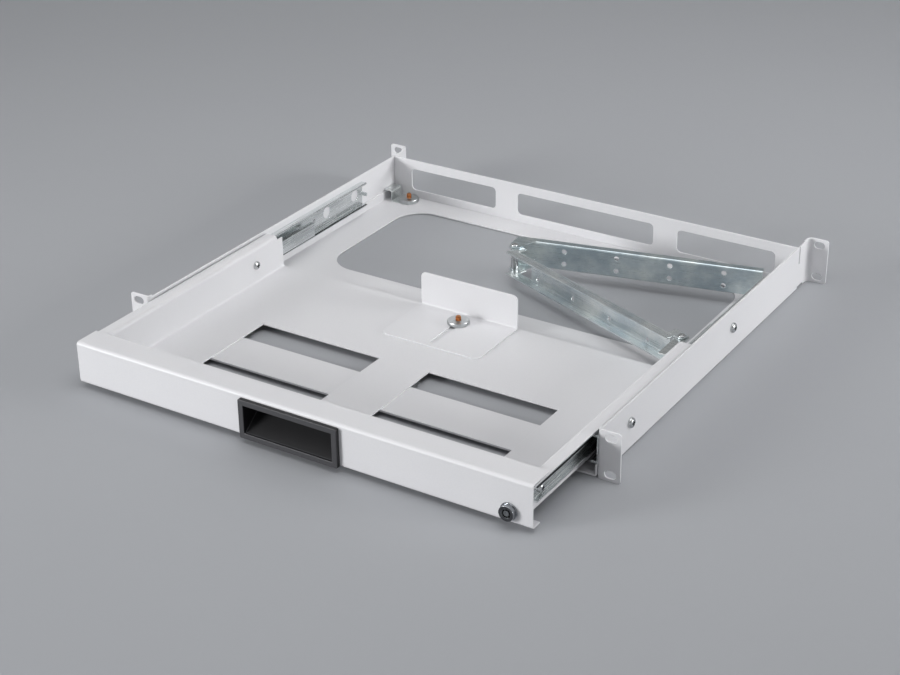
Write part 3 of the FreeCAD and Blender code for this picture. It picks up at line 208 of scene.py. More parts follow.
def zinc_plated_sheet(name, turn, dull, fair):
    # Rolled steel strip, zinc plated and blue passivated: a half-bright cool grey, duller and
    # fairer in cloudy patches, with faint rolling lines along the strip and a soft plated grain.
    finish, tree, place = new_finish(name)
    along = add_node(tree, "ShaderNodeMapping", {"Vector": place, "Rotation": (0.0, 0.0, -turn)})
    cloud = add_node(
        tree, "ShaderNodeTexNoise",
        {
            "Vector": along.outputs["Vector"], "Scale": 1 / (32 * MM), "Detail": 3.0,
            "Roughness": 0.6,
        },
    )
    grain = add_node(tree, "ShaderNodeTexVoronoi", {"Vector": place, "Scale": 1 / (2.2 * MM)})
    # Rolling lines are drawn 0.5 mm apart, coarser than real ones, so that they show.
    drawn = add_node(
        tree, "ShaderNodeMapping", {"Vector": along.outputs["Vector"], "Scale": (0.02, 1.0, 1.0)}
    )
    lines = add_node(
        tree, "ShaderNodeTexNoise",
        {"Vector": drawn.outputs["Vector"], "Scale": 1 / (0.5 * MM), "Detail": 2.0},
    )
    rim = add_node(tree, "ShaderNodeAttribute", attribute_name="rim").outputs["Fac"]
    patch = add_node(
        tree, "ShaderNodeMapRange",
        {"Value": cloud.outputs["Fac"], "From Min": 0.36, "From Max": 0.64},
    )
    tint = add_node(
        tree, "ShaderNodeMix",
        {SHARE: patch.outputs["Result"], FIRST: linear(dull), SECOND: linear(fair)},
        data_type="RGBA",
    )
    spangle = add_node(
        tree, "ShaderNodeMath", {0: grain.outputs["Color"], 1: 0.10}, operation="MULTIPLY"
    )
    plated = add_node(
        tree, "ShaderNodeMix",
        {SHARE: spangle.outputs[0], FIRST: tint.outputs[MIXED], SECOND: linear("#8F9CA3")},
        data_type="RGBA",
    )
    # Rounded edges are painted paler: partly burnished metal, partly painted highlight.
    burnish_and_highlight = add_node(tree, "ShaderNodeMath", {0: rim, 1: 0.6}, operation="MULTIPLY")
    colour = add_node(
        tree, "ShaderNodeMix",
        {SHARE: burnish_and_highlight.outputs[0], FIRST: plated.outputs[MIXED], SECOND: linear("#E2E7E8")},
        data_type="RGBA",
    )
    sheen = add_node(
        tree, "ShaderNodeMapRange",
        {
            "Value": lines.outputs["Fac"], "From Min": 0.3, "From Max": 0.7, "To Min": 0.24,
            "To Max": 0.38,
        },
    )
    bump = add_node(
        tree, "ShaderNodeBump",
        {"Height": lines.outputs["Fac"], "Strength": 0.10, "Distance": 0.02 * MM},
    )
    end_finish(
        tree,
        {
            "Base Color": colour.outputs[MIXED], "Metallic": 1.0,
            "Roughness": sheen.outputs["Result"], "Normal": bump.outputs["Normal"],
        },
    )
    return finish


def drawn_slide_steel():
    # Cold-drawn steel strip, rolled to a slide profile and bright zinc plated: clean silver with
    # long straight draw lines that stretch every reflection along the rail. Rounded edges are
    # painted near white as painted highlight, and the ball tracks are painted near black as
    # painted shade.
    finish, tree, place = new_finish("drawn_slide_steel")
    # Draw lines are drawn 0.4 mm apart, coarser than real ones, so that they show.
    drawn = add_node(tree, "ShaderNodeMapping", {"Vector": place, "Scale": (1.0, 0.012, 1.0)})
    lines = add_node(
        tree, "ShaderNodeTexNoise",
        {"Vector": drawn.outputs["Vector"], "Scale": 1 / (0.4 * MM), "Detail": 3.0},
    )
    cloud = add_node(
        tree, "ShaderNodeTexNoise", {"Vector": place, "Scale": 1 / (25 * MM), "Detail": 2.0}
    )
    rim = add_node(tree, "ShaderNodeAttribute", attribute_name="rim").outputs["Fac"]
    tint = add_node(
        tree, "ShaderNodeMix",
        {SHARE: cloud.outputs["Fac"], FIRST: linear("#DEE3E4"), SECOND: linear("#E8EBEB")},
        data_type="RGBA",
    )
    # Rounded edges are painted near white as painted highlight.
    edge_highlit = add_node(
        tree, "ShaderNodeMix", {SHARE: rim, FIRST: tint.outputs[MIXED], SECOND: linear("#F4F6F6")},
        data_type="RGBA",
    )
    # Ball track faces are painted near black as painted shade.
    painted_track_shade = add_node(tree, "ShaderNodeAttribute", attribute_name="painted_track_shade").outputs["Fac"]
    track_shade_patches = add_node(
        tree, "ShaderNodeMapRange", {"Value": cloud.outputs["Fac"], "To Min": 0.7, "To Max": 1.0}
    )
    track_shade_amount = add_node(
        tree, "ShaderNodeMath", {0: painted_track_shade, 1: track_shade_patches.outputs["Result"]}, operation="MULTIPLY"
    )
    colour = add_node(
        tree, "ShaderNodeMix",
        {SHARE: track_shade_amount.outputs[0], FIRST: edge_highlit.outputs[MIXED], SECOND: linear("#1E2022")},
        data_type="RGBA",
    )
    sheen = add_node(
        tree, "ShaderNodeMapRange",
        {
            "Value": lines.outputs["Fac"], "From Min": 0.3, "From Max": 0.7, "To Min": 0.20,
            "To Max": 0.30,
        },
    )
    bump = add_node(
        tree, "ShaderNodeBump",
        {"Height": lines.outputs["Fac"], "Strength": 0.06, "Distance": 0.02 * MM},
    )
    end_finish(
        tree,
        {
            "Base Color": colour.outputs[MIXED], "Metallic": 1.0,
            "Roughness": sheen.outputs["Result"], "Normal": bump.outputs["Normal"],
        },
    )
    return finish


def bright_plated_steel():
    # Turned and headed steel, bright nickel plated: small, smooth and mirror-like with a fine
    # haze; a screw's recess is painted near black as painted shade.
    finish, tree, place = new_finish("bright_plated_steel")
    haze = add_node(
        tree, "ShaderNodeTexNoise", {"Vector": place, "Scale": 1 / (1.4 * MM), "Detail": 3.0}
    )
    plated = add_node(
        tree, "ShaderNodeMix",
        {SHARE: haze.outputs["Fac"], FIRST: linear("#BDBFC0"), SECOND: linear("#CDCFCF")},
        data_type="RGBA",
    )
    recess = add_node(tree, "ShaderNodeAttribute", attribute_name="recess").outputs["Fac"]
    # The recess is painted near black as painted shade.
    tint = add_node(
        tree, "ShaderNodeMix",
        {SHARE: recess, FIRST: plated.outputs[MIXED], SECOND: linear("#151617")}, data_type="RGBA",
    )
    sheen = add_node(
        tree, "ShaderNodeMapRange",
        {
            "Value": haze.outputs["Fac"], "From Min": 0.3, "From Max": 0.7, "To Min": 0.14,
            "To Max": 0.30,
        },
    )
    end_finish(
        tree,
        {"Base Color": tint.outputs[MIXED], "Metallic": 1.0, "Roughness": sheen.outputs["Result"]},
    )
    return finish


def turned_nut_steel(name, centre):
    # Free-cutting steel, faced on a lathe and zinc plated: a silver disc with fine rings round its
    # hole, which fan the light out from the middle.
    finish, tree, place = new_finish(name)
    shift = add_node(
        tree, "ShaderNodeMapping", {"Vector": place, "Location": Vector(centre) * -MM}
    )
    # Lathe rings are drawn 0.45 mm apart, coarser than real ones, so that they show.
    rings = add_node(
        tree, "ShaderNodeTexWave",
        {
            "Vector": shift.outputs["Vector"], "Scale": 0.314 / (0.45 * MM), "Distortion": 0.6,
            "Detail": 1.0, "Detail Scale": 0.6,
        },
        wave_type="RINGS", rings_direction="Z",
    )
    haze = add_node(
        tree, "ShaderNodeTexNoise", {"Vector": place, "Scale": 1 / (3 * MM), "Detail": 2.0}
    )
    tint = add_node(
        tree, "ShaderNodeMix",
        {SHARE: haze.outputs["Fac"], FIRST: linear("#BCBFC0"), SECOND: linear("#CDD0D0")},
        data_type="RGBA",
    )
    sheen = add_node(
        tree, "ShaderNodeMapRange", {"Value": rings.outputs["Fac"], "To Min": 0.32, "To Max": 0.46}
    )
    bump = add_node(
        tree, "ShaderNodeBump",
        {"Height": rings.outputs["Fac"], "Strength": 0.12, "Distance": 0.02 * MM},
    )
    end_finish(
        tree,
        {
            "Base Color": tint.outputs[MIXED], "Metallic": 1.0,
            "Roughness": sheen.outputs["Result"], "Normal": bump.outputs["Normal"],
        },
    )
    return finish


def copper_flashed_steel():
    # Weld stud of steel with a thin copper flash: warm orange, a little browner in blotches.
    finish, tree, place = new_finish("copper_flashed_steel")
    blotch = add_node(
        tree, "ShaderNodeTexNoise", {"Vector": place, "Scale": 1 / (2.5 * MM), "Detail": 3.0}
    )
    worn = add_node(
        tree, "ShaderNodeMapRange",
        {"Value": blotch.outputs["Fac"], "From Min": 0.35, "From Max": 0.68},
    )
    tint = add_node(
        tree, "ShaderNodeMix",
        {SHARE: worn.outputs["Result"], FIRST: linear("#BE8454"), SECOND: linear("#8A5432")},
        data_type="RGBA",
    )
    sheen = add_node(
        tree, "ShaderNodeMapRange",
        {
            "Value": blotch.outputs["Fac"], "From Min": 0.3, "From Max": 0.7, "To Min": 0.24,
            "To Max": 0.42,
        },
    )
    end_finish(
        tree,
        {"Base Color": tint.outputs[MIXED], "Metallic": 1.0, "Roughness": sheen.outputs["Result"]},
    )
    return finish


def moulded_black_plastic():
    # Black ABS, injection moulded in a spark-eroded tool: a deep satin black with a fine even
    # grain, rubbed greyer along the rim that fingers touch.
    finish, tree, place = new_finish("moulded_black_plastic")
    # Eroded grain is drawn 0.45 mm wide, coarser than real grain, so that it shows.
    grain = add_node(
        tree, "ShaderNodeTexNoise",
        {"Vector": place, "Scale": 1 / (0.45 * MM), "Detail": 2.0, "Roughness": 0.6},
    )
    cloud = add_node(
        tree, "ShaderNodeTexNoise", {"Vector": place, "Scale": 1 / (18 * MM), "Detail": 2.0}
    )
    rim = add_node(tree, "ShaderNodeAttribute", attribute_name="rim").outputs["Fac"]
    body = add_node(
        tree, "ShaderNodeMix",
        {SHARE: cloud.outputs["Fac"], FIRST: linear("#131315"), SECOND: linear("#19191B")},
        data_type="RGBA",
    )
    rubbed = add_node(tree, "ShaderNodeMath", {0: rim, 1: 0.9}, operation="MULTIPLY")
    colour = add_node(
        tree, "ShaderNodeMix",
        {SHARE: rubbed.outputs[0], FIRST: body.outputs[MIXED], SECOND: linear("#3E3E41")},
        data_type="RGBA",
    )
    satin = add_node(
        tree, "ShaderNodeMapRange",
        {
            "Value": grain.outputs["Fac"], "From Min": 0.3, "From Max": 0.7, "To Min": 0.36,
            "To Max": 0.52,
        },
    )
    bump = add_node(
        tree, "ShaderNodeBump",
        {"Height": grain.outputs["Fac"], "Strength": 0.25, "Distance": 0.05 * MM},
    )
    end_finish(
        tree,
        {
            "Base Color": colour.outputs[MIXED], "Roughness": satin.outputs["Result"],
            "Normal": bump.outputs["Normal"],
        },
    )
    return finish


def polished_lock_chrome():
    # Die-cast zinc, polished and chrome plated: a near mirror, crossed by hair scratches from
    # keys.
    finish, tree, place = new_finish("polished_lock_chrome")
    drawn = add_node(
        tree, "ShaderNodeMapping",
        {"Vector": place, "Rotation": (0.0, 0.6, 0.0), "Scale": (0.06, 1.0, 1.0)},
    )
    scratch = add_node(
        tree, "ShaderNodeTexNoise",
        {"Vector": drawn.outputs["Vector"], "Scale": 1 / (0.25 * MM), "Detail": 2.0},
    )
    cloud = add_node(tree, "ShaderNodeTexNoise", {"Vector": place, "Scale": 1 / (5 * MM)})
    face = add_node(tree, "ShaderNodeAttribute", attribute_name="rim").outputs["Fac"]
    # The chrome is coloured darker than bright chrome as painted reflection of dark surroundings.
    tint = add_node(
        tree, "ShaderNodeMix",
        {SHARE: cloud.outputs["Fac"], FIRST: linear("#8E9195"), SECOND: linear("#A0A3A7")},
        data_type="RGBA",
    )
    # The flat face round the plug is turned; it is coloured darker than the plated side.
    colour = add_node(
        tree, "ShaderNodeMix",
        {SHARE: face, FIRST: tint.outputs[MIXED], SECOND: linear("#56575A")}, data_type="RGBA",
    )
    sheen = add_node(
        tree, "ShaderNodeMapRange",
        {
            "Value": scratch.outputs["Fac"], "From Min": 0.45, "From Max": 0.75, "To Min": 0.07,
            "To Max": 0.24,
        },
    )
    end_finish(
        tree,
        {
            "Base Color": colour.outputs[MIXED], "Metallic": 1.0,
            "Roughness": sheen.outputs["Result"],
        },
    )
    return finish


def worn_plug_steel():
    # Turned steel of the lock's core, oiled and handled: a darker grey than the chrome round it.
    finish, tree, place = new_finish("worn_plug_steel")
    wear = add_node(
        tree, "ShaderNodeTexNoise", {"Vector": place, "Scale": 1 / (1.2 * MM), "Detail": 3.0}
    )
    key_ring_shade = add_node(tree, "ShaderNodeAttribute", attribute_name="rim").outputs["Fac"]
    steel = add_node(
        tree, "ShaderNodeMix",
        {SHARE: wear.outputs["Fac"], FIRST: linear("#6A6C6F"), SECOND: linear("#85888A")},
        data_type="RGBA",
    )
    # The ring that takes the key is deep and painted near black as painted shade.
    tint = add_node(
        tree, "ShaderNodeMix",
        {SHARE: key_ring_shade, FIRST: steel.outputs[MIXED], SECOND: linear("#101011")}, data_type="RGBA",
    )
    sheen = add_node(
        tree, "ShaderNodeMapRange",
        {
            "Value": wear.outputs["Fac"], "From Min": 0.3, "From Max": 0.7, "To Min": 0.25,
            "To Max": 0.42,
        },
    )
    end_finish(
        tree,
        {"Base Color": tint.outputs[MIXED], "Metallic": 1.0, "Roughness": sheen.outputs["Result"]},
    )
    return finish


COAT = light_grey_powder_coat()
SLIDE = drawn_slide_steel()
BRIGHT = bright_plated_steel()
PLASTIC = moulded_black_plastic()
CHROME = polished_lock_chrome()
PLUG = worn_plug_steel()
COPPER = copper_flashed_steel()
ZINC = zinc_plated_sheet("zinc_plated_sheet", 0.0, "#CED3D3", "#EBEEEC")
# The two links share one plating; the front link's tint is painted paler and the rear link's
# darker, as painted light and painted shade.
FRONT_LINK_ZINC = zinc_plated_sheet(
    "zinc_plated_front_link", math.radians(FRONT_LINK_TURN), "#CDD7DC", "#F1F5F4"
)
REAR_LINK_ZINC = zinc_plated_sheet(
    "zinc_plated_rear_link", math.radians(REAR_LINK_TURN), "#B9C6CC", "#E2E9E7"
)
# The cages are painted near black as painted shade in the gap between the rails.
SHADED_CAGE_ZINC = zinc_plated_sheet("shade_dark_cage_zinc", 0.0, "#2E3234", "#43484B")
STOP_NUT_STEEL = turned_nut_steel("turned_stop_nut_steel", STOP_NUT_MIDDLE)
CLIP_NUT_STEEL = turned_nut_steel("turned_clip_nut_steel", CLIP_NUT_MIDDLE)


# Pieces

def finished_piece(bm, name, finish, slot, *nodes):
    """Makes the object of a mesh that stands for CAD nodes, on the body that carries them."""
    mesh = bpy.data.meshes.new(name)
    bm.to_mesh(mesh)
    bm.free()
    mesh.materials.append(finish)
    mesh.shade_smooth()
    mesh.set_sharp_from_angle(angle=CREASE_ANGLE)
    piece = bpy.data.objects.new(name, mesh)
    scene.collection.objects.link(piece)
    # Flat faces keep their own direction, so only the rounded edges turn the light.
    level = piece.modifiers.new("flat_faces", "WEIGHTED_NORMAL")
    level.keep_sharp = True
    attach(piece, BODY_OF[nodes[0]])
    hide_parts(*nodes)


def edge_rounded(node, finish, slot, radius, segments=2, front=None, tail=None, balls=None):
    """The CAD node's shape with its triangles joined to flat faces and its sharp edges rounded.

    The rounded edges count as rim, and so do faces towards the user further out than front.
    A tail is the X of a sheet's end and the radius of that end's two corners.
    The tracks that the node named as balls runs in get painted shade.
    """
    bm = bmesh.new()
    bm.from_mesh(frame["nodes"][node].data)
    bmesh.ops.remove_doubles(bm, verts=bm.verts[:], dist=WELD)
    bmesh.ops.dissolve_limit(bm, angle_limit=FLAT_ANGLE, verts=bm.verts[:], edges=bm.edges[:])
    rim = bm.faces.layers.float.new("rim")
    if tail is not None:
        end, corner = tail
        corners = [e for e in bm.edges if all(abs(v.co.x - end * MM) < 0.01 * MM for v in e.verts)
                   and abs(e.verts[0].co.z - e.verts[1].co.z) > 0.1 * MM]
        bmesh.ops.bevel(
            bm, geom=corners, offset=corner * MM, offset_type="OFFSET", affect="EDGES",
            segments=12, profile=0.5, material=-1, clamp_overlap=False,
        )
    sharp = [e for e in bm.edges if e.calc_face_angle(0.0) > SHARP_ANGLE]
    rounded = bmesh.ops.bevel(
        bm, geom=sharp, offset=radius * MM, offset_type="OFFSET", affect="EDGES",
        segments=segments, profile=0.5, material=-1, clamp_overlap=False,
    )
    for face in rounded["faces"]:
        face[rim] = 1.0
    if front is not None:
        bm.normal_update()
        for face in bm.faces:
            if face.normal.y < -0.9 and face.calc_center_median().y < front * MM:
                face[rim] = 1.0
    if balls is not None:
        # Faces of the ball tracks are marked for painted shade.
        painted_track_shade = bm.faces.layers.float.new("painted_track_shade")
        low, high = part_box(balls)
        ball = (high.x - low.x) / 2
        for face in bm.faces:
            middle = face.calc_center_median()
            off = min(Vector((middle.x - low.x - ball, middle.z - level)).length
                      for level in (low.z + ball, high.z - ball))
            face[painted_track_shade] = float(abs(off - ball) < 0.3 * MM)
    finished_piece(bm, node + "_rounded", finish, slot, node)


def turned(profile, steps, closed=False):
    """A shape spun round Z from its (radius, height) points in mm."""
    bm = bmesh.new()
    points = [bm.verts.new((radius * MM, 0.0, height * MM)) for radius, height in profile]
    edges = [bm.edges.new(pair) for pair in zip(points, points[1:])]
    if closed:
        edges.append(bm.edges.new((points[-1], points[0])))
    bmesh.ops.spin(
        bm, geom=points + edges, cent=(0, 0, 0), axis=(0, 0, 1), angle=math.tau, steps=steps,
        use_merge=True,
    )
    bmesh.ops.remove_doubles(bm, verts=bm.verts[:], dist=WELD)
    bmesh.ops.recalc_face_normals(bm, faces=bm.faces[:])
    bm.faces.layers.float.new("rim")
    return bm


def put(bm, foot, along=(0, 0, 1)):
    """Moves a shape made round Z to its foot in mm, with its Z turned along a direction."""
    lean = Vector((0, 0, 1)).rotation_difference(Vector(along)).to_matrix().to_4x4()
    bmesh.ops.transform(bm, matrix=Matrix.Translation(Vector(foot) * MM) @ lean, verts=bm.verts[:])
    return bm


def together(shapes):
    """Several shapes in one mesh."""
    whole, loose = bmesh.new(), bpy.data.meshes.new("loose_shape")
    for bm in shapes:
        bm.to_mesh(loose)
        bm.free()
        whole.from_mesh(loose)
    bpy.data.meshes.remove(loose)
    return whole


def node_place(node):
    """The middle of a node in X and Y, its lowest Z and its height, in mm."""
    low, high = (Vector(corner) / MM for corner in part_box(node))
    return (low.x + high.x) / 2, (low.y + high.y) / 2, low.z, high.z - low.z


def pan_head_screw(length, head=1.0):
    """A pan-head screw with a cross recess; its head stands on Z 0 and its shank hangs down.

    The head's size is given as a share of the plain head.
    """
    reach, half_width, depth = 2.1, 0.5, 1.6
    bm = turned(
        [
            (0, -length), (1.6, -length), (2.0, 0.4 - length), (2.0, 0), (3.9, 0), (4.0, 0.15),
            (4.0, 0.9), (3.86, 1.5), (3.5, 2.1), (3.0, 2.5), (2.4, 2.74), (2.3, 2.76),
        ],
        48,
    )
    rim = [edge for edge in bm.edges if edge.is_boundary]
    top = bmesh.ops.edgeloop_fill(bm, edges=rim)["faces"]
    bmesh.ops.inset_region(bm, faces=top, thickness=0.1 * MM, use_even_offset=True)
    for vert in top[0].verts:
        off = abs((math.atan2(vert.co.y, vert.co.x) + math.pi / 4) % (math.pi / 2) - math.pi / 4)
        radius = min(reach / math.cos(off), half_width / max(math.sin(off), 0.01)) * MM
        scale = radius / vert.co.xy.length
        bmesh.ops.scale(bm, vec=(scale, scale, 1.0), verts=[vert])
    floor = bmesh.ops.extrude_discrete_faces(bm, faces=top)["faces"]
    bmesh.ops.translate(bm, verts=floor[0].verts[:], vec=(0, 0, -depth * MM))
    bmesh.ops.scale(bm, vec=(0.5, 0.5, 1.0), verts=floor[0].verts[:])
    bmesh.ops.recalc_face_normals(bm, faces=bm.faces[:])
    # Faces inside the cross recess are marked for painted shade.
    recess = bm.faces.layers.float.new("recess")
    for face in bm.faces:
        middle = face.calc_center_median()
        face[recess] = float(middle.xy.length < reach * MM and 1.0 * MM < middle.z < 2.7 * MM)
    outside = [v for v in bm.verts if v.co.z > 0.05 * MM or v.co.xy.length > 3.0 * MM]
    bmesh.ops.scale(bm, vec=(head, head, head), verts=outside)
    return bm


def knurled_nut():
    """A thin round nut with a straight knurl and a turned dish round its hub."""
    steps, groove = 144, 0.966
    bm = turned(
        [
            (2.58, 0.3), (2.88, 0), (9.4, 0), (10, 0.6), (10, 2.9), (9.4, 3.5), (8.2, 3.5),
            (8.05, 3.42), (4.6, 3.42), (4.45, 3.5), (2.95, 3.5), (2.58, 3.15),
        ],
        steps, closed=True,
    )
    grooves = [v for v in bm.verts if v.co.xy.length > 9.7 * MM
               and round(math.atan2(v.co.y, v.co.x) / math.tau * steps) % 2]
    bmesh.ops.scale(bm, vec=(groove, groove, 1.0), verts=grooves)
    return bm


def threaded_stud(length):
    """A weld stud whose thread runs to a chamfered tip."""
    pitch, steps = 0.8, 48
    crest, root, tip = 2.5, 2.04, 0.9
    bm = bmesh.new()
    points = [bm.verts.new(((crest if i % 2 else root) * MM, 0, (i / 2 - 2) * pitch * MM))
              for i in range(2 * int(length / pitch) + 8)]
    edges = [bm.edges.new(pair) for pair in zip(points, points[1:])]
    bmesh.ops.spin(
        bm, geom=points + edges, cent=(0, 0, 0), axis=(0, 0, 1), dvec=(0, 0, pitch / steps * MM),
        angle=math.tau, steps=steps,
    )
    bmesh.ops.remove_doubles(bm, verts=bm.verts[:], dist=0.002 * MM)
    for level, facing in ((0, -1), (length, 1)):
        bmesh.ops.bisect_plane(
            bm, geom=bm.verts[:] + bm.edges[:] + bm.faces[:], dist=WELD,
            plane_co=(0, 0, level * MM), plane_no=(0, 0, facing), clear_outer=True,
        )
    bmesh.ops.holes_fill(bm, edges=[edge for edge in bm.edges if edge.is_boundary])
    for vert in bm.verts:
        limit = crest * MM - max(0.0, vert.co.z - (length - tip) * MM) * 0.7
        if vert.co.xy.length > limit:
            scale = limit / vert.co.xy.length
            bmesh.ops.scale(bm, vec=(scale, scale, 1.0), verts=[vert])
    bmesh.ops.recalc_face_normals(bm, faces=bm.faces[:])
    return bm


def headed_pin(node):
    """A clenched pin with a low round head at both ends and a small dimple in each."""
    x, y, foot, tall = node_place(node)
    lower = [
        (0, 0.25), (0.6, 0.25), (0.9, 0), (2.3, 0), (2.9, 0.15), (3.2, 0.55), (3.2, 1.1),
        (2.2, 1.1),
    ]
    bm = turned(lower + [(radius, tall - height) for radius, height in reversed(lower)], 48)
    finished_piece(put(bm, (x, y, foot)), node + "_turned", BRIGHT, "bright_steel", node)


def lock_housing():
    """The round lock housing: base ring, polished nose with a darker face, threaded barrel."""
    barrel = [(5.1 if i % 2 else 5.5, -0.9 - 0.4 * i) for i in range(32)]
    bm = turned(
        [(4.16, -14), (5.1, -14)] + barrel[::-1] + [
            (5.5, 0), (7.25, 0), (7.4, 0.15), (7.4, 0.9), (7.15, 1.2), (6.62, 1.2), (6.5, 1.4),
            (6.5, 4.55), (6.42, 4.82), (6.2, 4.97), (6.0, 5.0), (4.34, 5.0), (4.16, 4.82),
        ],
        96, closed=True,
    )
    rim = bm.faces.layers.float["rim"]
    for face in bm.faces:
        face[rim] = float(face.calc_center_median().z > 4.985 * MM)
    finished_piece(
        put(bm, LOCK_AT, (0, -1, 0)), "lock_body_turned", CHROME, "lock_chrome", "lock_body"
    )


def lock_core():
    """The plug that the key turns: a ring-shaped key way with its notch and pins round a post."""
    pins, pin_circle, notch_at, notch_deep = 7, 3.03, -0.6, 1.07
    bm = turned(
        [
            (0, 4.2), (0.5, 4.2), (0.7, 4.4), (2.3, 4.4), (2.45, 4.25), (2.45, 1.4), (3.6, 1.4),
            (3.6, 4.25), (3.75, 4.4), (4.0, 4.4), (4.1, 4.3), (4.1, -14.2), (2.6, -14.2),
            (2.6, -15.7), (1.3, -15.7), (1.3, -9.7), (0, -9.7),
        ],
        72,
    )
    notch = [v for v in bm.verts if 3.5 * MM < v.co.xy.length < 3.8 * MM and v.co.z > 0
             and abs(math.atan2(v.co.y, v.co.x) - notch_at) < 0.2]
    bmesh.ops.scale(bm, vec=(notch_deep, notch_deep, 1.0), verts=notch)
    # Faces inside the key ring are marked for painted shade.
    rim = bm.faces.layers.float["rim"]
    for face in bm.faces:
        middle = face.calc_center_median()
        in_ring = 2.42 * MM < middle.xy.length < 3.9 * MM
        face[rim] = float(in_ring and 1.3 * MM < middle.z < 4.3 * MM)
    shapes = [bm]
    for number in range(pins):
        turn = math.tau * (number + 0.5) / pins
        pin = turned([(0, 1.4), (0.34, 1.4), (0.34, 3.5), (0.24, 3.6), (0, 3.6)], 12)
        shapes.append(put(pin, (pin_circle * math.cos(turn), pin_circle * math.sin(turn), 0)))
    whole = put(together(shapes), LOCK_AT, (0, -1, 0))
    finished_piece(whole, "lock_plug_turned", PLUG, "lock_plug", "lock_plug")


def elbow_sleeve():
    """The spacer between the arm's links at the elbow, with its ends chamfered."""
    x, y, foot, tall = node_place("elbow_spacer")
    bm = turned(
        [
            (2.26, 0.2), (2.46, 0), (3.3, 0), (3.5, 0.2), (3.5, tall - 0.2), (3.3, tall),
            (2.46, tall), (2.26, tall - 0.2),
        ],
        48, closed=True,
    )
    finished_piece(
        put(bm, (x, y, foot)), "elbow_spacer_turned", BRIGHT, "bright_steel", "elbow_spacer"
    )


def rail_screws():
    """The screws that hold the outer rails to the side plates and the inner rails to the tray."""
    chassis_screws, drawer_screws = [], []
    for hand in (-1, 1):
        outward, inward = (hand, 0, 0), (-hand, 0, 0)
        for back in CHASSIS_SCREWS_BACK:
            screw = pan_head_screw(CHASSIS_SCREW_SHANK, CHASSIS_SCREW_HEAD)
            seat = (hand * CHASSIS_SCREW_SEAT, back, SLIDE_LEVEL)
            chassis_screws.append(put(screw, seat, outward))
        for (aside, back), way in ((FRONT_DRAWER_SCREW, outward), (REAR_DRAWER_SCREW, inward)):
            screw = pan_head_screw(DRAWER_SCREW_SHANK)
            seat = (hand * aside, back, SLIDE_LEVEL)
            drawer_screws.append(put(screw, seat, way))
    finished_piece(
        together(chassis_screws), "chassis_screws_crossed", BRIGHT, "bright_steel",
        "chassis_rail_screws",
    )
    finished_piece(
        together(drawer_screws), "drawer_screws_crossed", BRIGHT, "bright_steel",
        "drawer_rail_screws",
    )


for node in (
    "chassis_floor", "rear_panel", "left_side_plate", "right_side_plate", "drawer_tray",
    "front_panel", "floor_strap", "keyboard_stop",
):
    edge_rounded(node, COAT, "powder_coat", SHEET_EDGE)
for hand in ("left", "right"):
    for rail in ("outer_rail", "inner_rail"):
        edge_rounded(f"{hand}_{rail}", SLIDE, "slide_steel", RAIL_EDGE, balls=f"{hand}_balls")
edge_rounded("front_arm_link", FRONT_LINK_ZINC, "zinc_plate", PLATED_EDGE)
edge_rounded("rear_arm_link", REAR_LINK_ZINC, "zinc_plate", PLATED_EDGE)
for node in ("arm_drawer_bracket", "arm_wall_bracket", "lock_cam", "lock_nut"):
    edge_rounded(node, ZINC, "zinc_plate", PLATED_EDGE)
edge_rounded("cable_clip", ZINC, "zinc_plate", PLATED_EDGE, tail=(CLIP_TAIL_END, CLIP_TAIL_CORNER))
for node in ("left_ball_cage", "right_ball_cage"):
    edge_rounded(node, SHADED_CAGE_ZINC, "zinc_plate", PLATED_EDGE)
edge_rounded("pull_cup", PLASTIC, "black_plastic", PULL_EDGE, segments=3, front=PULL_FACE)
for node in ("cam_screw", "drawer_bracket_rivets", "wall_bracket_rivets"):
    edge_rounded(node, BRIGHT, "bright_steel", RIVET_EDGE)

for node, place, finish in (
    ("stop_nut", STOP_NUT_AT, STOP_NUT_STEEL), ("clip_nut", CLIP_NUT_AT, CLIP_NUT_STEEL)
):
    finished_piece(put(knurled_nut(), place), node + "_knurled", finish, "nut_steel", node)
for node, place in (("stop_stud", STOP_STUD_AT), ("clip_stud", CLIP_STUD_AT)):
    stud = put(threaded_stud(STUD_LENGTH), place)
    finished_piece(stud, node + "_threaded", COPPER, "copper_plate", node)
lock_housing()
lock_core()
for node in ("elbow_pin", "arm_drawer_pin", "arm_wall_pin"):
    headed_pin(node)
elbow_sleeve()
rail_screws()

for node in ("left_balls", "right_balls"):
    frame["nodes"][node].data.materials.clear()
    frame["nodes"][node].data.materials.append(BRIGHT)


# Floor, light and camera

def studio_floor():
    """A plain pale floor just under the part."""
    bm = bmesh.new()
    bmesh.ops.create_grid(bm, x_segments=1, y_segments=1, size=6.0)
    bmesh.ops.translate(bm, verts=bm.verts[:], vec=(0.0, 0.0, cad_box[0].z - 0.05 * MM))
    mesh = bpy.data.meshes.new("studio_floor")
    bm.to_mesh(mesh)
    bm.free()
    finish, tree, place = new_finish("pale_studio_floor")
    cloud = add_node(tree, "ShaderNodeTexNoise", {"Vector": place, "Scale": 2.0})
    tint = add_node(
        tree, "ShaderNodeMix",
        {SHARE: cloud.outputs["Fac"], FIRST: linear("#9FA1A5"), SECOND: linear("#A3A5A9")},
        data_type="RGBA",
    )
    end_finish(tree, {"Base Color": tint.outputs[MIXED], "Roughness": 0.7})
    mesh.materials.append(finish)
    floor = bpy.data.objects.new("studio_floor", mesh)
    scene.collection.objects.link(floor)


def soft_lamp(name, place, aim, watts, width, height, spread):
    """A soft box that faces its aim; its grid keeps the light within the spread."""
    data = bpy.data.lights.new(name, "AREA")
    data.shape = "RECTANGLE"
    data.size, data.size_y, data.energy, data.spread = width, height, watts, math.radians(spread)
    lamp = bpy.data.objects.new(name, data)
    towards = Vector(aim) - Vector(place)
    turn = towards.to_track_quat("-Z", "Y").to_matrix().to_4x4()
    lamp.matrix_world = Matrix.Translation(place) @ turn
    scene.collection.objects.link(lamp)


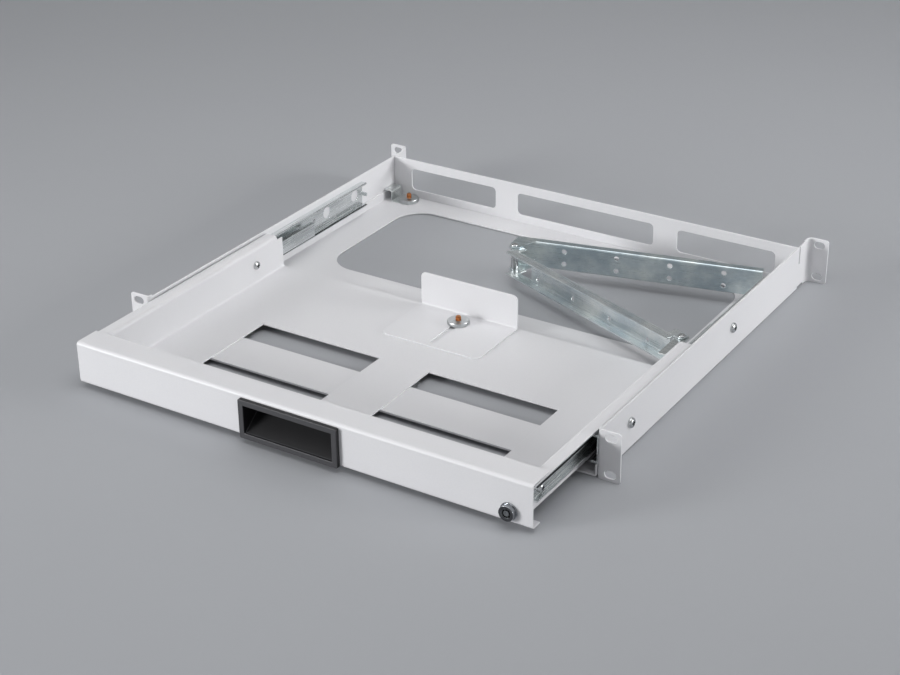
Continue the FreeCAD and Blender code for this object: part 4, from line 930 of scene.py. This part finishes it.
def studio_air():
    """Even pale air that lights the part from all sides."""
    air = bpy.data.worlds.new("studio_air")
    scene.world = air
    air.use_nodes = True
    tree = air.node_tree
    tree.nodes.clear()
    # The camera and bright metal see pale air at the horizon and darker air above it.
    ray = add_node(tree, "ShaderNodeLightPath")
    seen = add_node(
        tree, "ShaderNodeMath", {0: ray.outputs["Is Camera Ray"], 1: ray.outputs["Is Glossy Ray"]},
        operation="MAXIMUM",
    )
    way = add_node(tree, "ShaderNodeTexCoord").outputs["Generated"]
    height = add_node(tree, "ShaderNodeSeparateXYZ", {"Vector": way})
    shown = add_node(
        tree, "ShaderNodeMapRange",
        {
            "Value": height.outputs["Z"], "From Min": 0.05, "From Max": 0.35, "To Min": 0.9,
            "To Max": 0.3,
        },
    )
    level = add_node(
        tree, "ShaderNodeMapRange",
        {"Value": seen.outputs[0], "To Min": 0.32, "To Max": shown.outputs["Result"]},
    )
    glow = add_node(
        tree, "ShaderNodeBackground",
        {"Color": linear("#F6F7F9"), "Strength": level.outputs["Result"]},
    )
    add_node(tree, "ShaderNodeOutputWorld", {"Surface": glow.outputs["Background"]})


studio_floor()
studio_air()
soft_lamp(
    "overhead_box", (0.3, -0.1, 2.3), (0.0, 0.16, 0.0), watts=28, width=2.2, height=1.8, spread=180
)
soft_lamp(
    "front_left_box", (-1.9, -2.5, 0.75), (-0.1, 0.1, 0.0), watts=6.2, width=1.2, height=0.8,
    spread=45,
)
soft_lamp(
    "right_box", (2.7, 1.1, 0.7), (0.22, 0.66, 0.0), watts=4.9, width=1.3, height=0.8, spread=45
)

CAMERA_AT = (0.78734, -1.09883, 0.73621)
PAN, TILT, ROLL = (math.radians(turn) for turn in (32.43, 62.706, -0.693))
view = bpy.data.cameras.new("photo_camera")
view.sensor_width = 36.0
view.lens = 75.02
camera = bpy.data.objects.new("photo_camera", view)
camera.matrix_world = (Matrix.Translation(CAMERA_AT) @ Matrix.Rotation(PAN, 4, "Z")
                       @ Matrix.Rotation(TILT, 4, "X") @ Matrix.Rotation(ROLL, 4, "Z"))
scene.collection.objects.link(camera)
scene.camera = camera

scene.view_settings.view_transform = "Standard"

bpy.context.view_layer.update()
